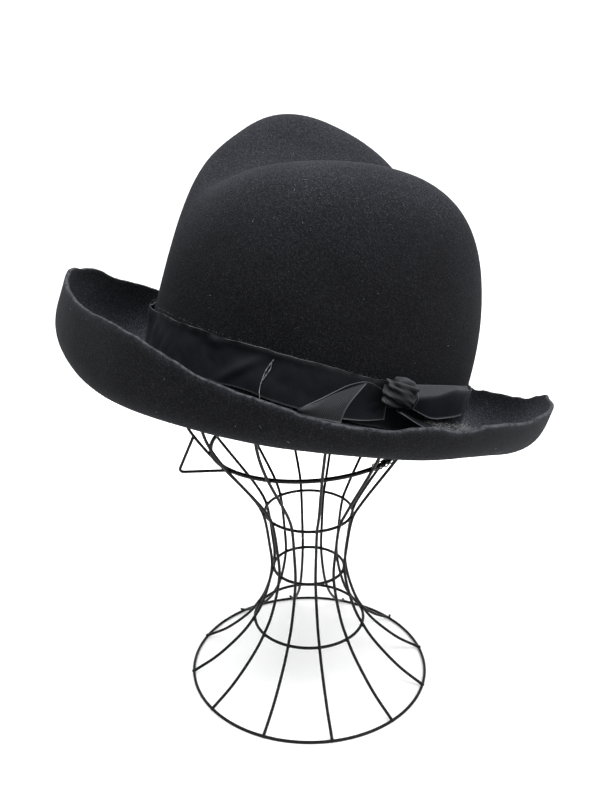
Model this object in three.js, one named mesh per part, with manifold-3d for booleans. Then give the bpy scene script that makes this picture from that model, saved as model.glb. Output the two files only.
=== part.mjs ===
import * as THREE from 'three';
import { mergeVertices } from 'three/addons/utils/BufferGeometryUtils.js';
import Module from 'manifold-3d';

// A blocked felt hat with a curled brim and a ribbon bow, on a welded wire hat stand.
// Millimetres, +Z up, the hat's front toward -X. Azimuths start at +X, the back, and turn
// toward +Y, so that 180 is the front and 270 the wearer's left side.

const wasm = await Module();
wasm.setup();

// ---- felt ----
const feltThickness = 2.4;
const headLength = 207.4;
const headWidth = 169.0;
const crownHeightLeft = 143.4;
const crownHeightRight = 171.7;
const brimWidth = 74;

// squareness of the crown's side outline, 2 is a half ellipse
const roundnessFront = 4.28;
const roundnessBack = 2.97;
// how far the walls lean in by the top, as shares of the half length and half width
const leanFront = 0.004;
const leanBack = 0.054;
const leanSide = 0.015;
// each side's height along the hat: tilt and bow, as shares of its height, about a place
// given as a share of the half length
const ridgeLeft = { tilt: 0.115, bow: -0.007, about: 0.10 };
const ridgeRight = { tilt: -0.094, bow: -0.156, about: -0.35 };
// the step from the low left side to the high right side
const stepPlace = -5.4;
const stepHalfSpan = 36.8;
// the crease that runs from front to back
const creaseDepth = 19.8;
const creaseWidth = 19.4;
const creasePlace = -9.1;
const creaseSkew = 0.025;
const creaseFarWiden = 1.7;
const creaseFadeFront = 0.237;
const creaseFadeBack = 0.510;

// the hat's seat on the stand: the middle of the line where crown and brim meet, which lies
// this far below the widest ring of the wire head
const hatSeat = { x: -3.4, y: 3.9, drop: 24.1 };
const hatTiltBack = 15.45;
const hatRollLeft = -4.01;

// brim sections: azimuth in degrees, width as a share of brimWidth, slope where it leaves
// the crown and at the cut edge in degrees, and the shares of the width between which it curls
const brimSections = [
  { azimuth: 0, width: 1.039, slope: -8.0, edge: 87.2, from: 0.257, to: 0.892 },
  { azimuth: 22.5, width: 0.972, slope: -20.0, edge: 94.5, from: 0.331, to: 0.892 },
  { azimuth: 45, width: 0.912, slope: -14.8, edge: 93.0, from: 0.328, to: 0.873 },
  { azimuth: 67.5, width: 0.875, slope: -8.7, edge: 89.0, from: 0.310, to: 0.853 },
  { azimuth: 90, width: 0.884, slope: -8.2, edge: 87.5, from: 0.303, to: 0.843 },
  { azimuth: 112.5, width: 0.949, slope: -11.7, edge: 89.5, from: 0.302, to: 0.847 },
  { azimuth: 135, width: 1.040, slope: -17.9, edge: 93.0, from: 0.314, to: 0.868 },
  { azimuth: 157.5, width: 1.143, slope: -19.6, edge: 97.2, from: 0.281, to: 0.855 },
  { azimuth: 180, width: 1.223, slope: -19.5, edge: 92.4, from: 0.239, to: 0.845 },
  { azimuth: 202.5, width: 1.188, slope: -28.3, edge: 92.4, from: 0.248, to: 0.825 },
  { azimuth: 225, width: 1.184, slope: -30.9, edge: 93.6, from: 0.287, to: 0.816 },
  { azimuth: 247.5, width: 1.030, slope: -25.6, edge: 87.1, from: 0.328, to: 0.889 },
  { azimuth: 270, width: 0.884, slope: -17.4, edge: 74.7, from: 0.368, to: 0.982 },
  { azimuth: 292.5, width: 0.810, slope: -8.2, edge: 73.8, from: 0.352, to: 0.999 },
  { azimuth: 315, width: 0.811, slope: -0.9, edge: 77.3, from: 0.294, to: 0.966 },
  { azimuth: 337.5, width: 0.906, slope: -3.1, edge: 83.4, from: 0.253, to: 0.916 },
];
// lumps of the raw cut edge: azimuth and spread in degrees, rise in felt thicknesses
const edgeLumps = [
  { azimuth: 176, spread: 10, rise: 1.6 },
  { azimuth: 150, spread: 9, rise: 1.2 },
  { azimuth: 6, spread: 7, rise: 1.4 },
  { azimuth: 24, spread: 8, rise: -1.0 },
];

// ---- ribbon ----
const ribbonWidth = 26.5;
const ribbonThickness = 1.0;
const ribbonFoot = 1.2;
const seatGap = 0.4;
// where the band sags on the wearer's left front: azimuth and spread in degrees, and the
// drop as a share of the ribbon's width
const bandSag = { azimuth: 207, spread: 26, drop: 0.095 };
// soft folds of the band: azimuth and spread in degrees, height and reach as shares of
// the ribbon's width, and how far the fold stands off in ribbon thicknesses
const bandFolds = [
  { azimuth: 197, spread: 7, height: 1.0, reach: 0.5, off: 4.0 },
  { azimuth: 222, spread: 9, height: 0.2, reach: 0.4, off: 1.4 },
  { azimuth: 246, spread: 7, height: 0.75, reach: 0.35, off: 1.8 },
  { azimuth: 256, spread: 6, height: 0.25, reach: 0.35, off: 2.2 },
  { azimuth: 264, spread: 5, height: 0.7, reach: 0.3, off: 1.0 },
  { azimuth: 150, spread: 9, height: 0.9, reach: 0.4, off: 1.2 },
  { azimuth: 60, spread: 10, height: 0.1, reach: 0.4, off: 1.2 },
  { azimuth: 345, spread: 9, height: 0.9, reach: 0.4, off: 1.2 },
];
// the bow, all along the crown's wall: azimuths in degrees, heights from the band's foot
// as shares of the ribbon's width, stand-offs from the wall as shares of it too
const knot = { azimuth: 296.5, height: 0.83, off: 0.27, along: 0.35, tall: 0.32, deep: 0.205 };
const loopStations = [
  { lowAz: 289.6, low: 0.17, lowOff: 0.10, highAz: 289.4, high: 0.84, highOff: 0.10 },
  { lowAz: 286, low: 0.09, lowOff: 0.085, highAz: 287, high: 0.88, highOff: 0.085 },
  { lowAz: 280, low: 0.03, lowOff: 0.09, highAz: 280.5, high: 0.74, highOff: 0.09 },
  { lowAz: 273.5, low: -0.03, lowOff: 0.14, highAz: 274, high: 0.42, highOff: 0.14 },
  { lowAz: 269, low: -0.05, lowOff: 0.22, highAz: 269, high: 0.10, highOff: 0.22 },
  { lowAz: 271.5, low: -0.02, lowOff: 0.36, highAz: 272.5, high: 0.30, highOff: 0.35 },
  { lowAz: 275.5, low: 0.01, lowOff: 0.43, highAz: 277.8, high: 0.62, highOff: 0.38 },
  { lowAz: 280.3, low: 0.04, lowOff: 0.46, highAz: 284.6, high: 0.93, highOff: 0.36 },
];
const tailUpperStations = [
  { azimuth: 302.9, back: 1.02, backOff: 0.085, fold: 0.78, foldOff: 0.31, foot: 0.50, footOff: 0.27 },
  { azimuth: 310, back: 1.08, backOff: 0.105, fold: 0.86, foldOff: 0.31, foot: 0.42, footOff: 0.29 },
  { azimuth: 318, back: 1.12, backOff: 0.13, fold: 1.03, foldOff: 0.28, foot: 0.44, footOff: 0.27 },
  { azimuth: 328.5, back: 1.15, backOff: 0.14, fold: 1.09, foldOff: 0.22, foot: 0.52, footOff: 0.23 },
];
const tailLowerStations = [
  { azimuth: 297.5, inner: 0.485, innerOff: 0.15, outer: 0.465, outerOff: 0.38 },
  { azimuth: 306, inner: 0.32, innerOff: 0.16, outer: 0.27, outerOff: 0.48 },
  { azimuth: 316, inner: 0.26, innerOff: 0.16, outer: 0.22, outerOff: 0.56 },
  { azimuth: 326, inner: 0.24, innerOff: 0.16, outer: 0.20, outerOff: 0.60 },
  { azimuth: 336, inner: 0.22, innerOff: 0.14, outer: 0.19, outerOff: 0.56 },
];

// ---- wire stand ----
const wire = 2.0;
const chinWire = 2.8;
const baseWire = 1.9;
const uprightCount = 12;
const uprightTurn = 9.8;
const weldSink = 0.8;
const baseRadius = 83;
const neckRadius = 26.1;
const headHalfLength = 86;
const headHalfWidth = 70;
const chinHeight = 168;
const headHeight = 232;
const topRingRadius = 17;
const hatClearance = 0.35;
// stand sections below the chin ring: heights as shares of chinHeight, radii as shares
// of the way from neckRadius to baseRadius, whether a ring is welded there, and how much
// that ring rises toward the wearer's right, as a slope
const footSections = [
  { height: 0.0715, spread: 0.70, ring: false },
  { height: 0.174, spread: 0.372, ring: false },
  { height: 0.231, spread: 0.246, ring: true, lean: 0.03 },
  { height: 0.30, spread: 0.130, ring: false },
  { height: 0.461, spread: 0.0, ring: true, lean: 0.04 },
  { height: 0.575, spread: 0.024, ring: false },
  { height: 0.708, spread: 0.095, ring: true, lean: 0.055 },
  { height: 0.768, spread: 0.19, ring: false },
];
// head sections: heights as shares of the way from chinHeight to headHeight, half lengths
// and half widths as shares of the head's, the middle's shift as a share of the half length,
// and the slopes at which a ring rises toward the wearer's right and toward the back
const headSections = [
  { height: 0.0, length: 0.772, width: 0.85, shift: -0.036, ring: true, lean: 0.10, pitch: 0.045 },
  { height: 0.25, length: 0.89, width: 0.92, shift: -0.040, ring: false },
  { height: 0.6, length: 0.965, width: 0.97, shift: -0.036, ring: false },
  { height: 1.0, length: 1.0, width: 1.0, shift: -0.028, ring: true },
];
// head dome above headHeight: radii as shares of the head's half sizes, heights as
// shares of the dome's own height
const domeSections = [
  { spread: 0.955, height: 0.36 },
  { spread: 0.80, height: 0.68 },
  { spread: 0.52, height: 0.92 },
];
// bent wire loop at the front of the head: reach beyond the upright and the heights of its
// ends and tip as shares of the way from chinHeight to headHeight
const noseReach = 31;
const nose = { low: -0.26, tip: -0.272, high: 0.13 };

const rad = THREE.MathUtils.degToRad;
const halfLength = headLength / 2;
const halfWidth = headWidth / 2;

function smooth(x) {
  const t = Math.min(1, Math.max(0, x));
  return t * t * (3 - 2 * t);
}

// value of one column of an evenly spaced closed table at an azimuth
function aroundTable(rows, column, azimuth) {
  const n = rows.length;
  const t = ((((azimuth % 360) + 360) % 360) * n) / 360;
  const i = Math.floor(t);
  const f = t - i;
  const at = (k) => rows[(i + k + n) % n][column];
  const [a, b, c, d] = [at(-1), at(0), at(1), at(2)];
  return 0.5 * (2 * b + (c - a) * f + (2 * a - 5 * b + 4 * c - d) * f * f
    + (3 * b - a - 3 * c + d) * f * f * f);
}

function turnGap(a, b) {
  return ((((a - b) % 360) + 540) % 360) - 180;
}

// crown height over a place given in the hat's own plan
function crownHeight(x, y) {
  const s = x / halfLength;
  const left = crownHeightLeft
    * (1 + ridgeLeft.tilt * (s - ridgeLeft.about) + ridgeLeft.bow * (s - ridgeLeft.about) ** 2);
  const right = crownHeightRight
    * (1 + ridgeRight.tilt * (s - ridgeRight.about) + ridgeRight.bow * (s - ridgeRight.about) ** 2);
  return left + (right - left) * smooth(0.5 + (y - stepPlace) / (2 * stepHalfSpan));
}

function creaseAt(x, y) {
  const off = y - creasePlace - creaseSkew * x;
  const width = off < 0 ? creaseWidth : creaseWidth * creaseFarWiden;
  const fade = x < 0 ? creaseFadeFront : creaseFadeBack;
  const run = smooth((1 - Math.abs(x) / halfLength) / fade);
  return creaseDepth * run * Math.exp(-((Math.abs(off) / width) ** 2.2));
}

function crownOutline(azimuth) {
  const front = (1 - Math.cos(azimuth)) / 2;
  const side = Math.sin(azimuth) ** 2;
  return {
    power: roundnessBack + (roundnessFront - roundnessBack) * front,
    lean: (leanBack * (1 - front) + leanFront * front) * (1 - side) + leanSide * side,
  };
}

// outside of the crown: azimuth in radians, rise 0 where it meets the brim and 1 at the top
function crownPoint(azimuth, rise) {
  const { power, lean } = crownOutline(azimuth);
  const c = Math.cos((rise * Math.PI) / 2);
  const s = Math.sin((rise * Math.PI) / 2);
  const reach = (Math.abs(c) ** power + Math.abs(s) ** power) ** (-1 / power);
  const up = reach * s;
  const out = rise >= 1 ? 0 : reach * c * (1 - lean * up);
  const x = halfLength * out * Math.cos(azimuth);
  const y = halfWidth * out * Math.sin(azimuth);
  return new THREE.Vector3(x, y, up * crownHeight(x, y) - creaseAt(x, y) * smooth((up - 0.5) / 0.5));
}

function planNormal(azimuth) {
  return new THREE.Vector3(Math.cos(azimuth) / halfLength, Math.sin(azimuth) / halfWidth, 0)
    .normalize();
}

// a point off the crown's wall: azimuth in degrees, height above the brim line
function offWall(degrees, height, off) {
  const azimuth = rad(degrees);
  const { power, lean } = crownOutline(azimuth);
  const top = crownHeight(halfLength * Math.cos(azimuth), halfWidth * Math.sin(azimuth));
  const up = height / top;
  const out = (1 - Math.max(0, up) ** power) ** (1 / power) * (1 - lean * up);
  return new THREE.Vector3(halfLength * out * Math.cos(azimuth), halfWidth * out * Math.sin(azimuth), height)
    .addScaledVector(planNormal(azimuth), off);
}

// upper side of the brim: the slope turns from the start slope to the edge slope, and the
// section is walked in short steps out to the wanted share of its width
function brimPoint(degrees, share) {
  const azimuth = rad(degrees);
  const slope = rad(aroundTable(brimSections, 'slope', degrees));
  const edge = rad(aroundTable(brimSections, 'edge', degrees));
  const from = aroundTable(brimSections, 'from', degrees);
  const to = aroundTable(brimSections, 'to', degrees);
  let width = brimWidth * aroundTable(brimSections, 'width', degrees);
  for (const lump of edgeLumps) {
    width += lump.rise * feltThickness * Math.exp(-((turnGap(degrees, lump.azimuth) / lump.spread) ** 2));
  }
  const steps = 40;
  let out = 0;
  let up = 0;
  for (let i = 0; i < steps; i += 1) {
    const s = (share * (i + 0.5)) / steps;
    const angle = slope + (edge - slope) * smooth((s - from) / (to - from));
    out += (Math.cos(angle) * width * share) / steps;
    up += (Math.sin(angle) * width * share) / steps;
  }
  return new THREE.Vector3(halfLength * Math.cos(azimuth), halfWidth * Math.sin(azimuth), up)
    .addScaledVector(planNormal(azimuth), out);
}

// ---- solids ----

// A sheet of points, rows[j][i], thickened to a closed solid. lift and drop are the offsets
// of its two faces along the normal. closed joins the ends of each row, and pole makes the
// last row one point.
function sheetSolid(rows, { lift, drop, closed = false, pole = false }) {
  const m = rows.length;
  const n = rows[0].length;
  const at = (j, i) => rows[j][closed ? (i + n) % n : Math.min(n - 1, Math.max(0, i))];
  const normals = rows.map((row, j) => row.map((p, i) => {
    const along = at(j, i + 1).clone().sub(at(j, i - 1));
    const before = at(Math.max(0, j - 1), i);
    const after = at(Math.min(m - 1, j + 1), i);
    const normal = along.cross(after.clone().sub(before)).normalize();
    const inward = p.clone().sub(before);
    const onward = after.clone().sub(p);
    const bend = inward.length() && onward.length() ? inward.angleTo(onward) / 2 : 0;
    return normal.divideScalar(Math.max(0.75, Math.cos(bend)));
  }));
  if (pole) {
    const mean = normals[m - 2].reduce((sum, v) => sum.add(v), new THREE.Vector3()).normalize();
    normals[m - 1] = normals[m - 1].map(() => mean);
  }
  const positions = [];
  const index = [];
  const ids = [lift, drop].map((offset) => rows.map((row, j) => row.map((p, i) => {
    if (pole && j === m - 1 && i > 0) return positions.length / 3 - 1;
    const q = p.clone().addScaledVector(normals[j][i], offset);
    positions.push(q.x, q.y, q.z);
    return positions.length / 3 - 1;
  })));
  const triangle = (a, b, c) => {
    if (a !== b && b !== c && c !== a) index.push(a, b, c);
  };
  const quad = (a, b, c, d) => {
    triangle(a, b, c);
    triangle(a, c, d);
  };
  const [face, back] = ids;
  const spans = closed ? n : n - 1;
  for (let j = 0; j < m - 1; j += 1) {
    for (let i = 0; i < spans; i += 1) {
      const k = (i + 1) % n;
      quad(face[j][i], face[j][k], face[j + 1][k], face[j + 1][i]);
      quad(back[j][i], back[j + 1][i], back[j + 1][k], back[j][k]);
    }
    if (!closed) {
      quad(face[j][0], face[j + 1][0], back[j + 1][0], back[j][0]);
      quad(face[j + 1][n - 1], face[j][n - 1], back[j][n - 1], back[j + 1][n - 1]);
    }
  }
  for (let i = 0; i < spans; i += 1) {
    const k = (i + 1) % n;
    quad(face[0][k], face[0][i], back[0][i], back[0][k]);
    if (!pole) quad(face[m - 1][i], face[m - 1][k], back[m - 1][k], back[m - 1][i]);
  }
  const geometry = new THREE.BufferGeometry();
  geometry.setAttribute('position', new THREE.Float32BufferAttribute(positions, 3));
  geometry.setIndex(index);
  return facedOut(geometry);
}

// turns a closed geometry right side out, by the sign of its volume
function facedOut(geometry) {
  const p = geometry.attributes.position;
  const index = geometry.index.array;
  const [a, b, c] = [new THREE.Vector3(), new THREE.Vector3(), new THREE.Vector3()];
  let volume = 0;
  for (let i = 0; i < index.length; i += 3) {
    a.fromBufferAttribute(p, index[i]);
    b.fromBufferAttribute(p, index[i + 1]);
    c.fromBufferAttribute(p, index[i + 2]);
    volume += a.dot(b.cross(c));
  }
  if (volume < 0) {
    for (let i = 0; i < index.length; i += 3) {
      [index[i + 1], index[i + 2]] = [index[i + 2], index[i + 1]];
    }
  }
  return geometry;
}

function merged(geometry) {
  const bare = geometry.clone();
  bare.deleteAttribute('normal');
  bare.deleteAttribute('uv');
  const joined = mergeVertices(bare, 1e-4);
  const kept = [];
  const index = joined.index.array;
  for (let i = 0; i < index.length; i += 3) {
    const [a, b, c] = [index[i], index[i + 1], index[i + 2]];
    if (a !== b && b !== c && c !== a) kept.push(a, b, c);
  }
  joined.setIndex(kept);
  return facedOut(joined);
}

function toManifold(geometry) {
  const joined = merged(geometry);
  return new wasm.Manifold(new wasm.Mesh({
    numProp: 3,
    vertProperties: new Float32Array(joined.attributes.position.array),
    triVerts: new Uint32Array(joined.index.array),
  }));
}

function fromManifold(solid) {
  const mesh = solid.getMesh();
  const positions = [];
  for (let i = 0; i < mesh.vertProperties.length; i += mesh.numProp) {
    positions.push(mesh.vertProperties[i], mesh.vertProperties[i + 1], mesh.vertProperties[i + 2]);
  }
  const geometry = new THREE.BufferGeometry();
  geometry.setAttribute('position', new THREE.Float32BufferAttribute(positions, 3));
  geometry.setIndex(Array.from(mesh.triVerts));
  return geometry;
}

// ---- felt body ----
const aroundCount = 56;
const brimRows = 8;
const crownRows = 14;

function feltRows() {
  const rows = [];
  const degrees = Array.from({ length: aroundCount }, (_, i) => (360 * i) / aroundCount);
  for (let j = brimRows; j > 0; j -= 1) {
    rows.push(degrees.map((d) => brimPoint(d, j / brimRows)));
  }
  for (let j = 0; j <= crownRows; j += 1) {
    rows.push(degrees.map((d) => crownPoint(rad(d), j / crownRows)));
  }
  return rows;
}
const feltGeometry = sheetSolid(feltRows(), { lift: 0, drop: -feltThickness, closed: true, pole: true });

// ---- ribbon band ----
const bandRows = 3;

function bandOff(degrees, share) {
  let off = seatGap + ribbonThickness / 2;
  for (const fold of bandFolds) {
    const turn = turnGap(degrees, fold.azimuth) / fold.spread;
    const rise = (share - fold.height) / fold.reach;
    off += fold.off * ribbonThickness * Math.exp(-(turn ** 2) - rise ** 2);
  }
  return off;
}

const band = [];
for (let j = 0; j <= bandRows; j += 1) {
  const share = j / bandRows;
  band.push(Array.from({ length: aroundCount }, (_, i) => {
    const d = (360 * i) / aroundCount;
    const sag = bandSag.drop * Math.exp(-((turnGap(d, bandSag.azimuth) / bandSag.spread) ** 2));
    return offWall(d, ribbonFoot + ribbonWidth * share * (1 - sag), bandOff(d, share));
  }));
}
const halfRibbon = ribbonThickness / 2;
const bandGeometry = sheetSolid(band, { lift: halfRibbon, drop: -halfRibbon, closed: true });

// ---- bow ----
const inBow = (share) => ribbonFoot + ribbonWidth * share;
const arcPerDegree = (halfLength + halfWidth) * Math.PI / 360;

// the knot is a rounded pillow with a few gathers, laid against the band
const knotGeometry = new THREE.SphereGeometry(1, 16, 9);
knotGeometry.deleteAttribute('normal');
knotGeometry.deleteAttribute('uv');
const knotPoints = knotGeometry.attributes.position;
for (let i = 0; i < knotPoints.count; i += 1) {
  const p = new THREE.Vector3().fromBufferAttribute(knotPoints, i);
  const full = (v) => Math.sign(v) * Math.abs(v) ** 0.8;
  const gather = 1 + 0.05 * Math.cos(5 * Math.atan2(p.y, p.x));
  const q = offWall(
    knot.azimuth + (full(p.x) * gather * knot.along * ribbonWidth) / arcPerDegree,
    inBow(knot.height) + full(p.y) * gather * knot.tall * ribbonWidth,
    knot.off * ribbonWidth + p.z * knot.deep * ribbonWidth,
  );
  knotPoints.setXYZ(i, q.x, q.y, q.z);
}

// points of a ribbon end: a smooth curve through the stations for each line across it
function stationRows(lines, steps) {
  const curves = lines.map((points) => new THREE.CatmullRomCurve3(points, false, 'centripetal'));
  return curves.map((curve) => curve.getPoints(steps));
}

function between(first, second, count) {
  const rows = [];
  for (let j = 0; j <= count; j += 1) {
    rows.push(first.map((p, i) => p.clone().lerp(second[i], j / count)));
  }
  return rows;
}

const loopEdges = stationRows([
  loopStations.map((s) => offWall(s.lowAz, inBow(s.low), s.lowOff * ribbonWidth)),
  loopStations.map((s) => offWall(s.highAz, inBow(s.high), s.highOff * ribbonWidth)),
], 21);
const loopGeometry = sheetSolid(between(loopEdges[0], loopEdges[1], 2), { lift: halfRibbon, drop: -halfRibbon });

const upperEdges = stationRows([
  tailUpperStations.map((s) => offWall(s.azimuth, inBow(s.foot), s.footOff * ribbonWidth)),
  tailUpperStations.map((s) => offWall(s.azimuth, inBow(s.fold), s.foldOff * ribbonWidth)),
  tailUpperStations.map((s) => offWall(s.azimuth, inBow(s.back), s.backOff * ribbonWidth)),
], 9);
const upperGeometry = sheetSolid(upperEdges, { lift: halfRibbon, drop: -halfRibbon });

const lowerEdges = stationRows([
  tailLowerStations.map((s) => offWall(s.azimuth, inBow(s.inner), s.innerOff * ribbonWidth)),
  tailLowerStations.map((s) => offWall(s.azimuth, inBow(s.outer), s.outerOff * ribbonWidth)),
], 12);
const lowerGeometry = sheetSolid(between(lowerEdges[0], lowerEdges[1], 2), { lift: halfRibbon, drop: -halfRibbon });

// ---- the hat's place on the stand ----
const hat = new THREE.Group();
hat.position.set(hatSeat.x, hatSeat.y, headHeight - hatSeat.drop);
hat.quaternion.setFromAxisAngle(new THREE.Vector3(1, 0, 0), rad(hatRollLeft));
hat.quaternion.multiply(new THREE.Quaternion().setFromAxisAngle(new THREE.Vector3(0, 1, 0), rad(hatTiltBack)));
hat.updateMatrixWorld(true);

// height of the felt's inside above a place in plan, from its facets
const feltPlaced = feltGeometry.clone().applyMatrix4(hat.matrixWorld);
function insideHeight(x, y) {
  const p = feltPlaced.attributes.position;
  const index = feltPlaced.index.array;
  let lowest = Infinity;
  for (let i = 0; i < index.length; i += 3) {
    const [ax, ay, az, bx, by, bz, cx, cy, cz] = [0, 1, 2].flatMap((k) => [
      p.getX(index[i + k]), p.getY(index[i + k]), p.getZ(index[i + k])]);
    const area = (bx - ax) * (cy - ay) - (cx - ax) * (by - ay);
    if (Math.abs(area) > 1e-9) {
      const u = ((x - ax) * (cy - ay) - (cx - ax) * (y - ay)) / area;
      const v = ((bx - ax) * (y - ay) - (x - ax) * (by - ay)) / area;
      if (u >= -1e-9 && v >= -1e-9 && u + v <= 1 + 1e-9) {
        const z = az + u * (bz - az) + v * (cz - az);
        if (z > headHeight && z < lowest) lowest = z;
      }
    }
  }
  return lowest;
}

// ---- stand ----
function headSection(row) {
  return {
    z: chinHeight + (headHeight - chinHeight) * row.height,
    long: headHalfLength * row.length,
    wide: headHalfWidth * row.width,
    shift: headHalfLength * row.shift,
    ring: row.ring,
    lean: row.lean,
    pitch: row.pitch,
  };
}
const sections = [
  { z: wire * 0.7, long: baseRadius, wide: baseRadius, shift: 0, ring: false },
  ...footSections.map((row) => {
    const r = neckRadius + (baseRadius - neckRadius) * row.spread;
    return { z: chinHeight * row.height, long: r, wide: r, shift: 0, ring: row.ring, lean: row.lean };
  }),
  ...headSections.map(headSection),
];
const brow = sections[sections.length - 1];
// how fast the uprights flare at each section between its neighbours
sections.forEach((s, i) => {
  const below = sections[Math.max(i - 1, 0)];
  const above = sections[Math.min(i + 1, sections.length - 1)];
  s.flare = (above.long - below.long) / (above.z - below.z);
});

const onSection = (s, azimuth) => new THREE.Vector3(
  s.shift + s.long * Math.cos(azimuth),
  s.wide * Math.sin(azimuth),
  s.z,
);
const uprightAzimuths = Array.from(
  { length: uprightCount },
  (_, i) => rad(uprightTurn + (360 * i) / uprightCount),
);

// the dome is as high as the hat's inside allows over every wire of its upper half
const topShare = topRingRadius / headHalfLength;
const domeRows = [...domeSections, { spread: topShare, height: 1 }];
const domeSection = (row, height) => ({
  z: headHeight + height * row.height,
  long: headHalfLength * row.spread,
  wide: headHalfWidth * row.spread + (topRingRadius - headHalfWidth * topShare) * row.height ** 8,
  shift: brow.shift * row.spread,
});
let domeHeight = Infinity;
for (const row of domeRows) {
  for (const azimuth of uprightAzimuths) {
    const p = onSection(domeSection(row, 0), azimuth);
    for (const [dx, dy] of [[0, 0], [wire, 0], [-wire, 0], [0, wire], [0, -wire]]) {
      const room = insideHeight(p.x + dx, p.y + dy) - cornerRadius(wire, 4) - hatClearance - headHeight;
      if (row.height > 0.6) domeHeight = Math.min(domeHeight, room / row.height);
    }
  }
}
const dome = domeRows.map((row) => domeSection(row, domeHeight));

// corner radius of the many-sided section that has a round wire's area
function cornerRadius(diameter, sides) {
  return (diameter / 2) * Math.sqrt((2 * Math.PI) / (sides * Math.sin((2 * Math.PI) / sides)));
}

// a curve that is sampled station by station, not by its length
class StationCurve extends THREE.CatmullRomCurve3 {
  getUtoTmapping(u) {
    return u;
  }
}

function wireAlong(path, diameter, steps) {
  const sides = 4;
  const r = cornerRadius(diameter, sides);
  const shape = new THREE.Shape(Array.from({ length: sides }, (_, i) => {
    const a = (2 * Math.PI * (i + 0.5)) / sides;
    return new THREE.Vector2(r * Math.cos(a), r * Math.sin(a));
  }));
  return toManifold(new THREE.ExtrudeGeometry(shape, { extrudePath: path, steps, bevelEnabled: false }));
}

// a wire ring: a closed profile turned round a circle, then moved out to the section's
// half length and half width, and leaned with the uprights' flare; the turn sets a flat
// side down
function wireRing(section, diameter, sides, count) {
  const points = [];
  const r = cornerRadius(diameter, sides);
  for (let i = 0; i <= sides; i += 1) {
    const a = -Math.PI / 2 + (2 * Math.PI * (i + 0.5)) / sides;
    points.push(new THREE.Vector2(section.long + r * Math.cos(a), r * Math.sin(a)));
  }
  const { lean = 0, pitch = 0, flare = 0 } = section;
  const geometry = new THREE.LatheGeometry(points, count);
  geometry.rotateX(Math.PI / 2);
  const p = geometry.attributes.position;
  for (let i = 0; i < p.count; i += 1) {
    const azimuth = Math.atan2(p.getY(i), p.getX(i));
    const rise = lean * section.wide * Math.sin(azimuth) + pitch * section.long * Math.cos(azimuth);
    const off = Math.hypot(p.getX(i), p.getY(i)) - section.long + flare * rise;
    p.setXYZ(
      i,
      section.shift + (section.long + off) * Math.cos(azimuth),
      (section.wide + off) * Math.sin(azimuth),
      section.z + rise + p.getZ(i),
    );
  }
  return toManifold(geometry);
}

const standPieces = [];
for (const azimuth of uprightAzimuths) {
  const points = [...sections, ...dome].map((s) => onSection(s, azimuth));
  standPieces.push(wireAlong(new StationCurve(points, false, 'centripetal'), wire, points.length - 1));
}
const baseDrop = cornerRadius(baseWire, 6) * Math.cos(Math.PI / 6);
standPieces.push(wireRing({ ...sections[0], z: baseDrop }, baseWire, 6, 32));
for (const s of sections.filter((row) => row.ring)) {
  const size = s.z === chinHeight ? chinWire : wire;
  const inside = (wire + size) / 2 - weldSink;
  standPieces.push(wireRing({ ...s, long: s.long - inside, wide: s.wide - inside }, size, 4, s.long > 50 ? 30 : 18));
}
const crownRing = dome[dome.length - 1];
standPieces.push(wireRing({ ...crownRing, z: crownRing.z - wire * 0.4 }, wire, 4, 20));

// the bent loop in the plane of the foremost upright
const foremost = uprightAzimuths.reduce((a, b) => (Math.cos(a) < Math.cos(b) ? a : b));
const foremostCurve = new THREE.CatmullRomCurve3(
  [...sections, ...dome].map((s) => onSection(s, foremost)),
  false,
  'centripetal',
);
const noseHeight = (share) => chinHeight + (headHeight - chinHeight) * share;
function uprightAt(height) {
  let best = foremostCurve.getPoint(0);
  for (let i = 0; i <= 400; i += 1) {
    const p = foremostCurve.getPoint(i / 400);
    if (Math.abs(p.z - height) < Math.abs(best.z - height)) best = p;
  }
  return best;
}
const noseLow = uprightAt(noseHeight(nose.low));
const noseHigh = uprightAt(noseHeight(nose.high));
const noseTip = noseLow.clone().add(new THREE.Vector3(-noseReach, 0, noseHeight(nose.tip) - noseLow.z));
const bendIn = (from) => noseTip.clone().lerp(from, 0.14);
const nosePath = new THREE.CurvePath();
nosePath.add(new THREE.LineCurve3(noseLow, bendIn(noseLow)));
nosePath.add(new THREE.QuadraticBezierCurve3(bendIn(noseLow), noseTip, bendIn(noseHigh)));
nosePath.add(new THREE.LineCurve3(bendIn(noseHigh), noseHigh));
standPieces.push(wireAlong(nosePath, wire, 12));

const standGeometry = fromManifold(standPieces.reduce((sum, piece) => sum.add(piece)));

// ---- scene graph ----
const feltMaterial = new THREE.MeshStandardMaterial({ color: 0x1e1f24, roughness: 0.96, metalness: 0 });
const ribbonMaterial = new THREE.MeshStandardMaterial({ color: 0x17171a, roughness: 0.75, metalness: 0 });
const wireMaterial = new THREE.MeshStandardMaterial({ color: 0x1a1a1a, roughness: 0.5, metalness: 0.6 });

function named(name, geometry, material) {
  const mesh = new THREE.Mesh(geometry, material);
  mesh.name = name;
  return mesh;
}

hat.add(named('felt_body', feltGeometry, feltMaterial));
hat.add(named('ribbon_band', bandGeometry, ribbonMaterial));
hat.add(named('ribbon_knot', merged(knotGeometry), ribbonMaterial));
hat.add(named('ribbon_loop', loopGeometry, ribbonMaterial));
hat.add(named('ribbon_tail_upper', upperGeometry, ribbonMaterial));
hat.add(named('ribbon_tail_lower', lowerGeometry, ribbonMaterial));

const object = new THREE.Group();
object.add(hat);
object.add(named('wire_stand', standGeometry, wireMaterial));

// the origin is the middle of the footprint of the whole, at the height it stands on
object.updateMatrixWorld(true);
const box = new THREE.Box3().setFromObject(object, true);
object.position.set(-(box.min.x + box.max.x) / 2, -(box.min.y + box.max.y) / 2, -box.min.z);

export default object;
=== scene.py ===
import math

import bmesh
import bpy
import numpy as np
from mathutils import Matrix


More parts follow.
